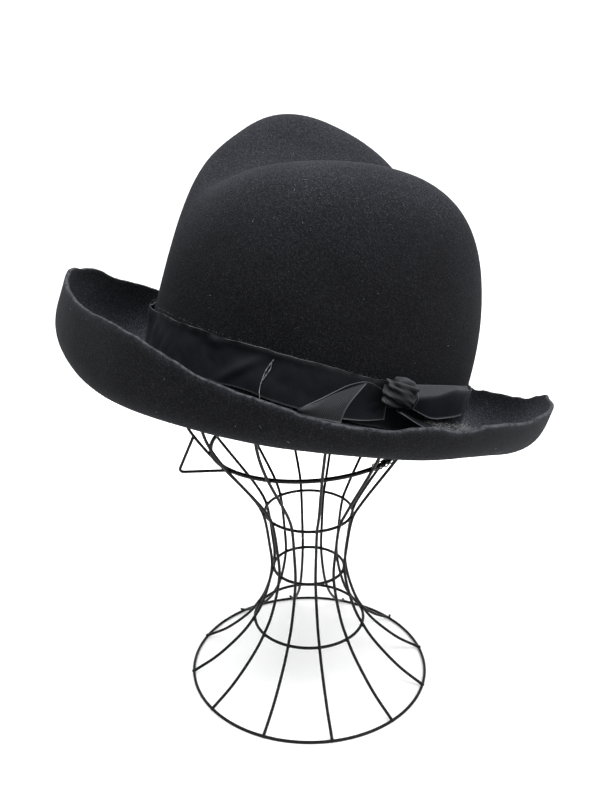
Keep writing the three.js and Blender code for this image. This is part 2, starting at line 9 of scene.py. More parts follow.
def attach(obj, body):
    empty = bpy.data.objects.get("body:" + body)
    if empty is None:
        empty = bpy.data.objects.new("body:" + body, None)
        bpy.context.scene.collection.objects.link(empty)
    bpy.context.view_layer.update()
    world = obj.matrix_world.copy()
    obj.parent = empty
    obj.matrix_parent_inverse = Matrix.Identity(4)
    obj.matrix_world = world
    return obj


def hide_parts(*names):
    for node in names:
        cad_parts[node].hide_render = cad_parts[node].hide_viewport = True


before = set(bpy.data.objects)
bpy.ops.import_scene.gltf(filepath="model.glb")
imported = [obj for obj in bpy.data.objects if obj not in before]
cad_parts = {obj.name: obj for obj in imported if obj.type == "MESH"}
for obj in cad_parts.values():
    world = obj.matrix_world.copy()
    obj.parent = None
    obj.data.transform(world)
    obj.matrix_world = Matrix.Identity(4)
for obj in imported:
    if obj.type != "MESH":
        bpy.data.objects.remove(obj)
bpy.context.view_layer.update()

# Shapes are worked out in millimetres and put into the meshes in metres. Azimuths are in
# degrees about the hat's own axis: 0 is the back, 180 the front, 270 the wearer's left.

MM = 0.001
STAND_AXIS = np.array([-0.143, -0.044, 0.0])

# ---- sizes of the felt ----
FELT = 2.4
HALF_LENGTH = 103.7
HALF_WIDTH = 84.5
LEFT_HEIGHT = 143.4
RIGHT_HEIGHT = 171.7
ROUND_FRONT = 4.28
ROUND_BACK = 2.97
LEAN_FRONT = 0.004
LEAN_BACK = 0.054
LEAN_SIDE = 0.015
LEFT_RIDGE = (0.115, -0.007, 0.10)
RIGHT_RIDGE = (-0.094, -0.156, -0.35)
STEP_PLACE = -5.4
STEP_HALF_SPAN = 36.8
CREASE_DEPTH = 19.8
CREASE_WIDTH = 19.4
CREASE_PLACE = -9.1
CREASE_SKEW = 0.025
CREASE_FAR_WIDEN = 1.7
CREASE_FADE_FRONT = 0.237
CREASE_FADE_BACK = 0.510

HAT_SEAT = np.array([-3.4, 3.9, 207.9])
TILT_BACK = math.radians(15.45)
ROLL_LEFT = math.radians(-4.01)

# brim sections every 22.5 degrees: width, slope at the crown, slope at the cut edge, and
# the shares of the width between which it curls
BRIM = np.array([
    [76.9, -8.0, 87.2, 0.257, 0.892],
    [71.9, -20.0, 94.5, 0.331, 0.892],
    [67.5, -14.8, 93.0, 0.328, 0.873],
    [64.8, -8.7, 89.0, 0.310, 0.853],
    [65.4, -8.2, 87.5, 0.303, 0.843],
    [70.2, -11.7, 89.5, 0.302, 0.847],
    [77.0, -17.9, 93.0, 0.314, 0.868],
    [84.6, -19.6, 97.2, 0.281, 0.855],
    [90.5, -19.5, 92.4, 0.239, 0.845],
    [87.9, -28.3, 92.4, 0.248, 0.825],
    [87.6, -30.9, 93.6, 0.287, 0.816],
    [76.2, -25.6, 87.1, 0.328, 0.889],
    [65.4, -17.4, 74.7, 0.368, 0.982],
    [59.9, -8.2, 73.8, 0.352, 0.999],
    [60.0, -0.9, 77.3, 0.294, 0.966],
    [67.0, -3.1, 83.4, 0.253, 0.916],
])
# lumps of the outline: azimuth, spread and rise
EDGE_LUMPS = np.array([
    [176.0, 10.0, 3.8],
    [150.0, 9.0, 2.9],
    [6.0, 7.0, 3.4],
    [24.0, 8.0, -2.4],
])
# slow waves of the raw cut edge: azimuth and rise
EDGE_WAVES = np.array([
    [0, -0.9], [2.5, 1.2], [6, 0.3], [10, -2.2], [13.5, -0.6], [18, 1.4], [24, 1.2],
    [30, -1.8], [45, 0.4], [70, -0.8], [95, 0.6], [120, -0.5], [144, -0.8], [156, -0.6],
    [161, -0.5], [167, 1.5], [176, -1.4], [186, -0.3], [192, 0.2], [200, 0.2], [207, -0.9],
    [214, -1.1], [221, 0.2], [230, 1.6], [238, 1.2], [242, 0.2], [249, -1.3], [253, -0.9],
    [256, 0.1], [262, 1.0], [266, 1.1], [269, 0.4], [275, -0.8], [281, -1.6], [286, -1.6],
    [291, 0.9], [295, 1.7], [302, -1.1], [311, 0.3], [327, -1.7], [333, -0.1], [346, -0.5],
])
# fine wobble of the scissors: waves in a turn, size and start
CUT_WOBBLE = ((29, 0.17, 4.1), (47, 0.13, 1.2), (71, 0.09, 3.3), (113, 0.06, 5.0))
# the share of the brim's width from which the edge waves are felt
EDGE_WAVES_FROM = 0.62

# rows and columns of the felt's grid
AROUND = 320
CROWN_ROWS = 84
BRIM_ROWS = 46
CUT_ROWS = 7
# how far the raw cut bulges past the brim's last row
CUT_BULGE = 0.75
# the sign that turns the felt grid's normals out of the felt
NORMALS_OUT = -1.0

# ---- sizes of the ribbon ----
RIBBON = 26.5
RIBBON_SHEET = 0.7
RIBBON_FOOT = 1.2
BAND_OFF = 1.0
# where the band is squeezed lower, where its top bulges up, and where its foot lifts:
# azimuth, spread and size, of which the first is a share of the ribbon's width
BAND_SAG = (207.0, 26.0, 0.095)
BAND_BULGE = (197.0, 3.0, 1.6)
BAND_LIFT = (251.0, 9.0, 1.7)
# the diagonal fold of the wearer's left front: azimuth, spread and stand-off, then its height
# and reach as shares of the width and how fast it climbs with each degree
BAND_DIAGONAL = (248.0, 8.0, 1.3, 0.42, 0.15, 0.056)
# the knot's middle: azimuth, then height and stand-off as shares of the width; its reach
# along, up and out as shares of it too; how square it is; and its least stand-off
KNOT_PLACE = (296.5, 0.83, 0.27)
KNOT_REACH = (0.34, 0.31, 0.19)
KNOT_SQUARE = (0.8, 0.8, 0.9)
KNOT_CLEAR = 1.9
KNOT_GRID = (64, 96)
# points round the band and across it, and along each bow piece and across it
BAND_GRID = (640, 22)
BOW_ALONG = 90
BOW_ACROSS = 26
# millimetres of the oval's outline to one degree, on the whole
ARC = (HALF_LENGTH + HALF_WIDTH) * math.pi / 360
# folds of the band: azimuth, spread, height and reach as shares of the width, stand-off
BAND_FOLDS = np.array([
    [197.0, 6.0, 1.0, 0.5, 3.4],
    [207.0, 5.0, 0.4, 0.5, 0.9],
    [219.0, 6.0, 0.3, 0.5, 0.8],
    [238.0, 22.0, 1.0, 0.12, 1.5],
    [238.5, 3.2, 0.86, 0.10, 1.5],
    [256.0, 5.0, 0.28, 0.30, 1.1],
    [262.0, 16.0, 1.0, 0.10, 0.9],
    [318.0, 20.0, 1.0, 0.14, 0.7],
    [150.0, 9.0, 0.9, 0.4, 1.2],
    [105.0, 12.0, 1.0, 0.2, 1.0],
    [60.0, 10.0, 0.1, 0.4, 1.2],
    [20.0, 14.0, 1.0, 0.2, 1.0],
    [345.0, 9.0, 0.9, 0.4, 1.0],
])

# ---- sizes of the stand ----
WIRE = 2.0
CHIN_WIRE = 2.8
BASE_WIRE = 1.9
UPRIGHTS = 12
UPRIGHT_TURN = 9.8
BASE_RADIUS = 83.0
NECK_RADIUS = 26.1
HEAD_HALF_LENGTH = 86.0
HEAD_HALF_WIDTH = 70.0
CHIN_HEIGHT = 168.0
HEAD_HEIGHT = 232.0
TOP_RING = 17.0
DOME_HEIGHT = 101.39
# how deep a ring is sunk into the uprights, how far the top ring hangs below their ends,
# and how high their feet stand
RING_SINK = 0.35
TOP_RING_DROP = WIRE * 0.4
FOOT_RISE = WIRE * 0.7
# the bent loop at the front: its upright, how far its tip stands off, the heights of its low
# end, tip and high end as shares of the way from chin ring to widest ring, and its rounding
NOSE_UPRIGHT = 6
NOSE_REACH = 31.0
NOSE_HEIGHTS = (-0.26, -0.272, 0.13)
NOSE_ROUNDING = 0.14
# the wrapped joint's coil: start and sweep of its azimuth, turns and wire
COIL_AZIMUTHS = (313.0, 16.0)
COIL_TURNS = 6.3
COIL_WIRE = 0.84
# sections below the chin ring: height as a share of that ring's, radius as a share of the
# way from neck to base, whether a ring is welded there, and the slope at which that ring
# rises toward the wearer's right
FOOT_SHARES = (
    (0.0715, 0.70, 0, 0), (0.174, 0.372, 0, 0), (0.231, 0.246, 1, 0.03), (0.30, 0.130, 0, 0),
    (0.461, 0.0, 1, 0.04), (0.575, 0.024, 0, 0), (0.708, 0.095, 1, 0.055), (0.768, 0.19, 0, 0),
)
# sections of the head up to its widest: height as a share of the way there, half length,
# half width and shift as shares of the widest, whether a ring is welded there, and the
# slopes at which it rises toward the wearer's right and toward the back
HEAD_SHIFT = -0.028
HEAD_SHARES = (
    (0.0, 0.772, 0.85, -0.036, 1, 0.10, 0.045), (0.25, 0.89, 0.92, -0.040, 0, 0, 0),
    (0.6, 0.965, 0.97, -0.036, 0, 0, 0), (1.0, 1.0, 1.0, HEAD_SHIFT, 1, 0, 0),
)
# sections of the dome: reach and height as shares, and whether a ring is welded there
DOME_SHARES = (
    (0.955, 0.36, 0), (0.80, 0.68, 0), (0.52, 0.92, 0), (TOP_RING / HEAD_HALF_LENGTH, 1.0, 1),
)


def foot_section(height, share, ring, lean):
    radius = NECK_RADIUS + (BASE_RADIUS - NECK_RADIUS) * share
    return [CHIN_HEIGHT * height, radius, radius, 0.0, ring, lean, 0.0]


def head_section(height, long, wide, shift, *ring):
    return [CHIN_HEIGHT + (HEAD_HEIGHT - CHIN_HEIGHT) * height, HEAD_HALF_LENGTH * long,
            HEAD_HALF_WIDTH * wide, HEAD_HALF_LENGTH * shift, *ring]


def dome_section(reach, height, ring):
    """The head's oval closes in and grows round toward the top ring."""
    rounder = (TOP_RING - HEAD_HALF_WIDTH * TOP_RING / HEAD_HALF_LENGTH) * height ** 8
    return [HEAD_HEIGHT + DOME_HEIGHT * height, HEAD_HALF_LENGTH * reach,
            HEAD_HALF_WIDTH * reach + rounder, HEAD_HALF_LENGTH * HEAD_SHIFT * reach, ring, 0, 0]


# height, half length, half width, shift, whether a ring is welded there, and its two slopes
STAND_SECTIONS = np.array(
    [[FOOT_RISE, BASE_RADIUS, BASE_RADIUS, 0.0, 0.0, 0.0, 0.0]]
    + [foot_section(*row) for row in FOOT_SHARES]
    + [head_section(*row) for row in HEAD_SHARES]
    + [dome_section(*row) for row in DOME_SHARES]
)
# how fast the uprights flare at each section between its neighbours
PADDED = np.pad(STAND_SECTIONS, ((1, 1), (0, 0)), mode="edge")
FLARE = (PADDED[2:, 1] - PADDED[:-2, 1]) / (PADDED[2:, 0] - PADDED[:-2, 0])
RING_ROWS = [int(k) for k in np.flatnonzero(STAND_SECTIONS[:, 4])]
CHIN_ROW = int(np.flatnonzero(STAND_SECTIONS[:, 0] == CHIN_HEIGHT)[0])


# ---- shape helpers ----

def smooth(x):
    """The cubic step: 0 below 0, 1 above 1, three x squared less two x cubed between."""
    x = np.clip(x, 0.0, 1.0)
    return x * x * (3 - 2 * x)


def cubic(a, b, c, d, f):
    """The cubic from b to c, a share f of the way, that takes its end slopes from a and d."""
    return 0.5 * (2 * b + (c - a) * f + (2 * a - 5 * b + 4 * c - d) * f ** 2
                  + (3 * b - a - 3 * c + d) * f ** 3)


def around(column, degrees):
    """A closed curve through evenly spaced values."""
    n = len(column)
    t = np.mod(degrees, 360.0) * n / 360.0
    i = np.floor(t).astype(int)
    return cubic(*(column[(i + k) % n] for k in (-1, 0, 1, 2)), t - i)


def full_turn(count):
    """Evenly spaced angles once round."""
    return np.arange(count) * 2 * np.pi / count


def extended(rows):
    """The rows with one more at each end, as far on as the last step goes."""
    return np.concatenate([[2 * rows[0] - rows[1]], rows, [2 * rows[-1] - rows[-2]]])


def turn_gap(degrees, middle):
    """The turn from middle to an azimuth, from -180 to 180."""
    return np.mod(degrees - middle + 180.0, 360.0) - 180.0


def bell(degrees, middle, spread):
    """A bell curve over the azimuth: 1 at its middle, and 1/e a spread away from it."""
    return np.exp(-((turn_gap(degrees, middle) / spread) ** 2))


def level(x, y, height):
    """Points at one height, or at a height each."""
    return np.stack(np.broadcast_arrays(x, y, height), -1)


def sphere(rows, columns):
    """A grid of points on a ball of radius 1, from the top down."""
    theta = np.linspace(0, np.pi, rows)[:, None]
    phi = full_turn(columns)[None, :]
    return level(np.sin(theta) * np.cos(phi), np.sin(theta) * np.sin(phi), np.cos(theta))


def waves(points, lengths, seed):
    """A sum of slow sine waves over space, one for each wave length, each along its own
    direction with its own start, worked out from the seed. Between -1 and 1 or so."""
    rng = np.random.default_rng(seed)
    total = np.zeros(points.shape[:-1])
    for length in lengths:
        way = rng.normal(size=3)
        way /= np.linalg.norm(way)
        total += np.sin(points @ way * 2 * np.pi / length + rng.uniform(0, 2 * np.pi))
    return total / math.sqrt(len(lengths))


def unit(vectors):
    """The vectors at length 1."""
    return vectors / np.maximum(np.linalg.norm(vectors, axis=-1, keepdims=True), 1e-12)


def grid_normals(rows, closed):
    """The cross product of the steps along and across a grid of points."""
    if closed:
        along = np.roll(rows, -1, axis=1) - np.roll(rows, 1, axis=1)
    else:
        along = np.gradient(rows, axis=1)
    return unit(np.cross(along, np.gradient(rows, axis=0)))


def put_mesh(name, points, faces, uv=None, **marks):
    """A mesh object from points in millimetres about the stand's axis, with its faces smooth,
    a UV for each point in metres, and a named number at each point for each mark, such as how
    near it is to a cut edge."""
    mesh = bpy.data.meshes.new(name)
    mesh.from_pydata((points + STAND_AXIS) * MM, [], faces)
    mesh.polygons.foreach_set("use_smooth", np.ones(len(mesh.polygons), bool))
    if uv is not None:
        index = np.empty(len(mesh.loops), np.int32)
        mesh.loops.foreach_get("vertex_index", index)
        mesh.uv_layers.new(name="weave").data.foreach_set("uv", (uv[index] * MM).ravel())
    for mark, values in marks.items():
        mesh.attributes.new(mark, "FLOAT", "POINT").data.foreach_set("value", np.ravel(values))
    mesh.validate()
    mesh.update()
    piece = bpy.data.objects.new(name, mesh)
    bpy.context.scene.collection.objects.link(piece)
    return piece


def grid_faces(m, n, closed):
    """Quads of a grid of m rows of n points, whose rows may join end to start."""
    j, i = np.meshgrid(np.arange(m - 1), np.arange(n if closed else n - 1), indexing="ij")
    k = (i + 1) % n
    a, b, c, d = j * n + i, j * n + k, (j + 1) * n + k, (j + 1) * n + i
    return np.stack([a, b, c, d], -1).reshape(-1, 4)


def outward(points, faces):
    """The faces, turned over if the solid that they close has a negative volume."""
    p = points - points.mean(axis=0)
    corners = [f[:3] for f in faces] + [[f[0], f[2], f[3]] for f in faces if len(f) == 4]
    a, b, c = p[np.array(corners)].transpose(1, 0, 2)
    step = -1 if np.einsum("ij,ij->", a, np.cross(b, c)) < 0 else 1
    return [tuple(f)[::step] for f in faces]


def closed_sheet(name, rows, closed, uv, edge, pale=0.0):
    """A sheet of ribbon: the grid is set off half its thickness along both normals, and the
    two faces are joined by a strip round the open sides. The pale mark, a painted highlight,
    is put on the face side alone."""
    m, n = rows.shape[:2]
    off = grid_normals(rows, closed) * RIBBON_SHEET / 2
    points = placed(np.concatenate([(rows + off).reshape(-1, 3), (rows - off).reshape(-1, 3)]))
    face = grid_faces(m, n, closed)
    back = face[:, ::-1] + m * n
    ids = np.arange(m * n).reshape(m, n)
    if closed:
        rims = [np.append(ids[0], ids[0, 0])[::-1], np.append(ids[-1], ids[-1, 0])]
    else:
        rims = [np.concatenate([ids[0, ::-1], ids[1:, 0], ids[-1, 1:], ids[-2::-1, -1]])]
    sides = [
        np.stack([rim[:-1], rim[:-1] + m * n, rim[1:] + m * n, rim[1:]], -1) for rim in rims
    ]
    faces = np.concatenate([face, back] + sides)
    uv, edge = (np.concatenate([value.reshape(m * n, -1)] * 2) for value in (uv, edge))
    # The face side carries the painted highlight, the back side none.
    wear_and_painted_highlight = np.zeros((2, m * n))
    wear_and_painted_highlight[0] = np.broadcast_to(pale, (m, n)).ravel()
    return put_mesh(name, points, outward(points, faces), uv, cut_edge=edge, pale=wear_and_painted_highlight)


# ---- the crown and the brim ----

def crown_height(x, y):
    """The wearer's left and right sides each have a height that tilts and bows along the
    hat, and a smooth step leads from one to the other."""
    s = x / HALF_LENGTH
    side = [
        height * (1 + ridge[0] * (s - ridge[2]) + ridge[1] * (s - ridge[2]) ** 2)
        for height, ridge in ((LEFT_HEIGHT, LEFT_RIDGE), (RIGHT_HEIGHT, RIGHT_RIDGE))
    ]
    return side[0] + (side[1] - side[0]) * smooth(0.5 + (y - STEP_PLACE) / (2 * STEP_HALF_SPAN))


def crease(x, y):
    """A bell-shaped valley from front to back, wider on the right, that fades at both ends."""
    off = y - CREASE_PLACE - CREASE_SKEW * x
    width = np.where(off < 0, CREASE_WIDTH, CREASE_WIDTH * CREASE_FAR_WIDEN)
    fade = np.where(x < 0, CREASE_FADE_FRONT, CREASE_FADE_BACK)
    run = smooth((1 - np.abs(x) / HALF_LENGTH) / fade)
    return CREASE_DEPTH * run * np.exp(-((np.abs(off) / width) ** 2.2))


def outline(azimuth):
    """How square the side outline is and how far the wall leans in, by azimuth."""
    front = (1 - np.cos(azimuth)) / 2
    side = np.sin(azimuth) ** 2
    power = ROUND_BACK + (ROUND_FRONT - ROUND_BACK) * front
    lean = (LEAN_BACK * (1 - front) + LEAN_FRONT * front) * (1 - side) + LEAN_SIDE * side
    return power, lean


def plan_normal(azimuth):
    """The level direction square to the head's oval."""
    return unit(level(np.cos(azimuth) / HALF_LENGTH, np.sin(azimuth) / HALF_WIDTH, 0.0))


def crown(degrees, rise):
    """Outside of the crown: an oval that shrinks upward along a squared-off quarter round,
    lifted to the crown's height at each place, with the crease taken off."""
    azimuth = np.radians(degrees)
    power, lean = outline(azimuth)
    c = np.cos(rise * np.pi / 2)
    s = np.sin(rise * np.pi / 2)
    reach = (np.abs(c) ** power + np.abs(s) ** power) ** (-1 / power)
    up = reach * s
    out = reach * c * (1 - lean * up)
    x = HALF_LENGTH * out * np.cos(azimuth)
    y = HALF_WIDTH * out * np.sin(azimuth)
    return level(x, y, up * crown_height(x, y) - crease(x, y) * smooth((up - 0.5) / 0.5))


def off_wall(degrees, height, off):
    """A point at a height on the crown's wall, moved out square to the oval."""
    azimuth = np.radians(degrees)
    power, lean = outline(azimuth)
    top = crown_height(HALF_LENGTH * np.cos(azimuth), HALF_WIDTH * np.sin(azimuth))
    up = height / top
    out = (1 - np.maximum(up, 0) ** power) ** (1 / power) * (1 - lean * up)
    wall = level(HALF_LENGTH * out * np.cos(azimuth), HALF_WIDTH * out * np.sin(azimuth), height)
    return wall + plan_normal(azimuth) * np.asarray(off)[..., None]


def brim_width(degrees):
    """The table's width, with the outline's lumps."""
    width = around(BRIM[:, 0], degrees)
    for middle, spread, rise in EDGE_LUMPS:
        width = width + rise * bell(degrees, middle, spread)
    return width


def cut_rise(degrees):
    """How far the cut edge runs above or below its even line: the table's slow waves, eased
    between its rows by a cosine, and the fine wobble of the scissors."""
    place = np.mod(degrees, 360.0)
    at = np.append(EDGE_WAVES[:, 0], 360.0)
    rise = np.append(EDGE_WAVES[:, 1], EDGE_WAVES[0, 1])
    i = np.clip(np.searchsorted(at, place, side="right") - 1, 0, len(at) - 2)
    f = (place - at[i]) / (at[i + 1] - at[i])
    total = rise[i] + (rise[i + 1] - rise[i]) * (1 - np.cos(np.pi * f)) / 2
    a = np.radians(degrees)
    for count, size, start in CUT_WOBBLE:
        total = total + size * np.sin(count * a + start + 2.5 * np.sin(5 * a + count))
    return total


def brim(degrees, shares):
    """Upper side of the brim: the slope turns smoothly from the crown's to the edge's, and
    its sine and cosine are summed along the section. The outer part rises or falls with the
    cut. Gives one row for each share."""
    slope, edge, start, stop = (around(BRIM[:, k], degrees)[:, None] for k in (1, 2, 3, 4))
    slope, edge = np.radians(slope), np.radians(edge)
    width = brim_width(degrees)[:, None]
    steps = 240
    fine = np.linspace(0, 1, steps + 1)[None, :]
    angle = slope + (edge - slope) * smooth((fine - start) / (stop - start))
    at = shares * steps
    i = np.minimum(at.astype(int), steps - 1)

    def run(pace):
        """The pace summed along the section, read off at the shares."""
        total = np.cumsum((pace[:, 1:] + pace[:, :-1]) / 2, axis=1)
        total = np.pad(total, ((0, 0), (1, 0))) * width / steps
        return total[:, i] * (1 - (at - i)) + total[:, i + 1] * (at - i)

    outer = smooth((shares - EDGE_WAVES_FROM) / (1 - EDGE_WAVES_FROM))
    raised = cut_rise(degrees)[:, None] * outer
    out = run(np.cos(angle)) + raised * np.cos(edge)
    up = run(np.sin(angle)) + raised * np.sin(edge)
    azimuth = np.radians(degrees)
    foot = level(HALF_LENGTH * np.cos(azimuth), HALF_WIDTH * np.sin(azimuth), 0.0)
    points = foot[:, None] + plan_normal(azimuth)[:, None] * out[..., None]
    points[..., 2] += up
    return points.transpose(1, 0, 2)


def placed(points):
    """From the hat's own frame to the stand's: tilted back, rolled, and set on its seat."""
    c, s = math.cos(TILT_BACK), math.sin(TILT_BACK)
    tilt = np.array([[c, 0, s], [0, 1, 0], [-s, 0, c]])
    c, s = math.cos(ROLL_LEFT), math.sin(ROLL_LEFT)
    roll = np.array([[1, 0, 0], [0, c, -s], [0, s, c]])
    return points @ (roll @ tilt).T + HAT_SEAT


def dents(points):
    """Slow unevenness of hand-blocked felt, half a millimetre or so."""
    slow = waves(points, (61, 83, 47, 102, 74), 11)
    return 0.42 * slow + 0.05 * waves(points, (19, 25, 16, 31), 12)


def felt_side(rises, shares):
    """The felt's outer side as one grid, from the crown's top to the brim, and the normals
    that point out of it."""
    degrees = np.arange(AROUND) * 360.0 / AROUND
    rows = np.concatenate([crown(degrees[None, :], rises[:, None]), brim(degrees, shares)])
    return rows, NORMALS_OUT * grid_normals(rows, True)


def felt_body():
    """The whole felt as one closed skin: from the top down the outside, over the brim to the
    cut edge, round the cut, and back along the underside and the inside to the top. It is
    marked with the nearness of the cut edge, and with painted light and shade: lighter where
    the crown faces up and darker on its sides, lighter on the brim's upper side, and darker on
    the brim's underside."""
    rises = np.append(1 - 0.35 / CROWN_ROWS, 1 - np.linspace(0, 1, CROWN_ROWS + 1)[1:-1])
    outer, normals = felt_side(rises, np.linspace(0, 1, BRIM_ROWS + 1))
    foot = len(rises)
    for _ in range(2):
        blend = normals.copy()
        blend[foot - 3:foot + 4] = (normals[foot - 4:foot + 3] + normals[foot - 3:foot + 4]
                                    + normals[foot - 2:foot + 5])
        normals = unit(blend)
    outer = outer + normals * dents(outer)[..., None]
    inner = outer - normals * FELT
    reach = unit(outer[-1] - outer[-2])
    middle = (outer[-1] + inner[-1]) / 2
    around_it = full_turn(AROUND)
    ragged = 1 + 0.16 * np.sin(97 * around_it) * np.cos(61 * around_it)
    cut = [
        middle + normals[-1] * (FELT / 2 * np.cos(a))
        + reach * (CUT_BULGE * np.sin(a) ** 0.7 * ragged)[:, None]
        for a in np.linspace(0, np.pi, CUT_ROWS + 2)[1:-1]
    ]
    rows = np.concatenate([outer, cut, inner[::-1]])
    m = len(rows)
    peaks = [outer[0].mean(axis=0), inner[0].mean(axis=0)]
    points = placed(np.concatenate([rows.reshape(-1, 3), peaks]))
    i = np.arange(AROUND)
    k = (i + 1) % AROUND
    last = (m - 1) * AROUND
    faces = list(grid_faces(m, AROUND, True))
    faces += [(m * AROUND, b, a) for a, b in zip(i, k)]
    faces += [(m * AROUND + 1, last + a, last + b) for a, b in zip(i, k)]

    first_cut = len(outer)
    near = np.abs(np.arange(m) - (first_cut + (CUT_ROWS - 1) / 2)) - CUT_ROWS / 2
    edge = np.repeat(np.exp(-np.maximum(near, 0) / 0.6), AROUND)
    # Painted light and shade, multiplied into the felt's colour: the crown is lighter where it
    # faces up and darker on its sides.
    tone = np.ones((m, AROUND))
    facing_up = (placed(normals[:foot]) - HAT_SEAT)[..., 2]
    tone[:foot] = 0.52 + 0.88 * smooth(facing_up / 0.85 - 0.1)
    # Painted light on the brim's upper side, up to about three times as light.
    upper_rows = [0, 4, 12, BRIM_ROWS - 8, BRIM_ROWS]
    upper = np.interp(np.arange(BRIM_ROWS + 1), upper_rows, [1.0, 2.2, 3.1, 3.1, 1.0])
    tone[foot:first_cut] = upper[:, None]
    # Painted shade on the brim's underside.
    below = first_cut + CUT_ROWS
    tone[below:below + BRIM_ROWS] = np.interp(np.arange(BRIM_ROWS), [0, 3], [0.72, 0.46])[:, None]
    return put_mesh("felt_hat", points, outward(points, faces), cut_edge=np.append(edge, [0, 0]),
                    tone=np.append(tone, [1, 1]))


# ---- materials ----

class Finish:
    """A material with its node tree and short ways to add to it."""

    def __init__(self, name):
        self.material = bpy.data.materials.new(name)
        self.material.use_nodes = True
        self.nodes = self.material.node_tree.nodes
        self.links = self.material.node_tree.links
        self.shader = self.nodes["Principled BSDF"]
        self.coordinates = self.nodes.new("ShaderNodeTexCoord")

    def put(self, value, socket):
        """A number, a colour or another node's output into an input."""
        if isinstance(value, bpy.types.NodeSocket):
            self.links.new(value, socket)
        else:
            colour = socket.type == "RGBA" and len(value) == 3
            socket.default_value = (*value, 1.0) if colour else value

    def set(self, **values):
        """The shader's inputs."""
        for name, value in values.items():
            self.put(value, self.shader.inputs[name.replace("_", " ")])

    def node(self, kind, **settings):
        """A new node with its own settings and what goes into its inputs."""
        made = self.nodes.new(kind)
        for name, value in settings.items():
            if hasattr(made, name):
                setattr(made, name, value)
            else:
                self.put(value, made.inputs[name.replace("_", " ")])
        return made

    def noise(self, scale, detail=3.0, roughness=0.55, source="Object", stretch=None):
        """Cloudy noise over the object's own space or the cloth's own map."""
        place = self.coordinates.outputs[source]
        if stretch:
            place = self.node("ShaderNodeMapping", Vector=place, Scale=stretch).outputs["Vector"]
        return self.node("ShaderNodeTexNoise", Vector=place, Scale=scale, Detail=detail,
                         Roughness=roughness).outputs["Fac"]

    def ramp(self, source, stops):
        """Colours, or greys given as one number, by the place of the source between them."""
        made = self.node("ShaderNodeValToRGB", Fac=source)
        points = made.color_ramp.elements
        for _ in stops[2:]:
            points.new(0.5)
        for point, (place, colour) in zip(points, stops):
            point.position = place
            point.color = (*(colour if isinstance(colour, tuple) else (colour,) * 3), 1.0)
        return made.outputs["Color"]

    def mix(self, first, second, factor, how="MIX"):
        made = self.node("ShaderNodeMix", data_type="RGBA", blend_type=how)
        for value, k in ((factor, 0), (first, 6), (second, 7)):
            self.put(value, made.inputs[k])
        return made.outputs[2]

    def maths(self, how, *values):
        made = self.node("ShaderNodeMath", operation=how)
        for value, socket in zip(values, made.inputs):
            self.put(value, socket)
        return made.outputs[0]

    def bump(self, height, distance, strength=1.0, **under):
        return self.node("ShaderNodeBump", Height=height, Distance=distance, Strength=strength,
                         **under).outputs["Normal"]

    def mark(self, name):
        """A mark that put_mesh left at the mesh's points."""
        return self.node("ShaderNodeAttribute", attribute_name=name).outputs["Fac"]


def felt_finish():
    """Charcoal wool felt: matted fibres, a faint mottle, a soft bloom where light grazes it,
    a paler raw edge, and the painted light and shade that the mesh's mark carries."""
    f = Finish("charcoal wool felt")
    f.set(Roughness=0.95, Specular_IOR_Level=0.08, Sheen_Weight=0.03, Sheen_Roughness=0.5,
          Sheen_Tint=(0.62, 0.66, 0.78, 1.0))
    fibres = f.noise(1900.0, 4.0, 0.72)
    clumps = f.noise(760.0, 4.0, 0.6)
    grain = f.ramp(fibres, [(0.34, (0.0044, 0.0048, 0.0060)), (0.54, (0.0092, 0.0098, 0.0120)),
                            (0.70, (0.0560, 0.0575, 0.0630))])
    tufts = f.ramp(clumps, [(0.36, 0.50), (0.68, (1.50, 1.50, 1.52))])
    mottle = f.ramp(f.noise(38.0, 3.0, 0.5), [(0.3, 0.82), (0.7, (1.14, 1.14, 1.15))])
    broken = f.ramp(f.noise(330.0, 4.0, 0.7), [(0.40, 0.10), (0.60, 1.0)])
    colour = f.mix(f.mix(grain, tufts, 0.8, "MULTIPLY"), mottle, 0.7, "MULTIPLY")
    raw = f.maths("MULTIPLY", f.mark("cut_edge"), broken)
    colour = f.mix(colour, (0.050, 0.052, 0.058), raw)
    coarse = f.bump(clumps, 0.00045, 0.55)
    # The colour is multiplied by the mesh's painted light and shade.
    f.set(Base_Color=f.mix(colour, f.mark("tone"), 1.0, "MULTIPLY"),
          Normal=f.bump(fibres, 0.00022, 0.8, Normal=coarse))
    return f.material


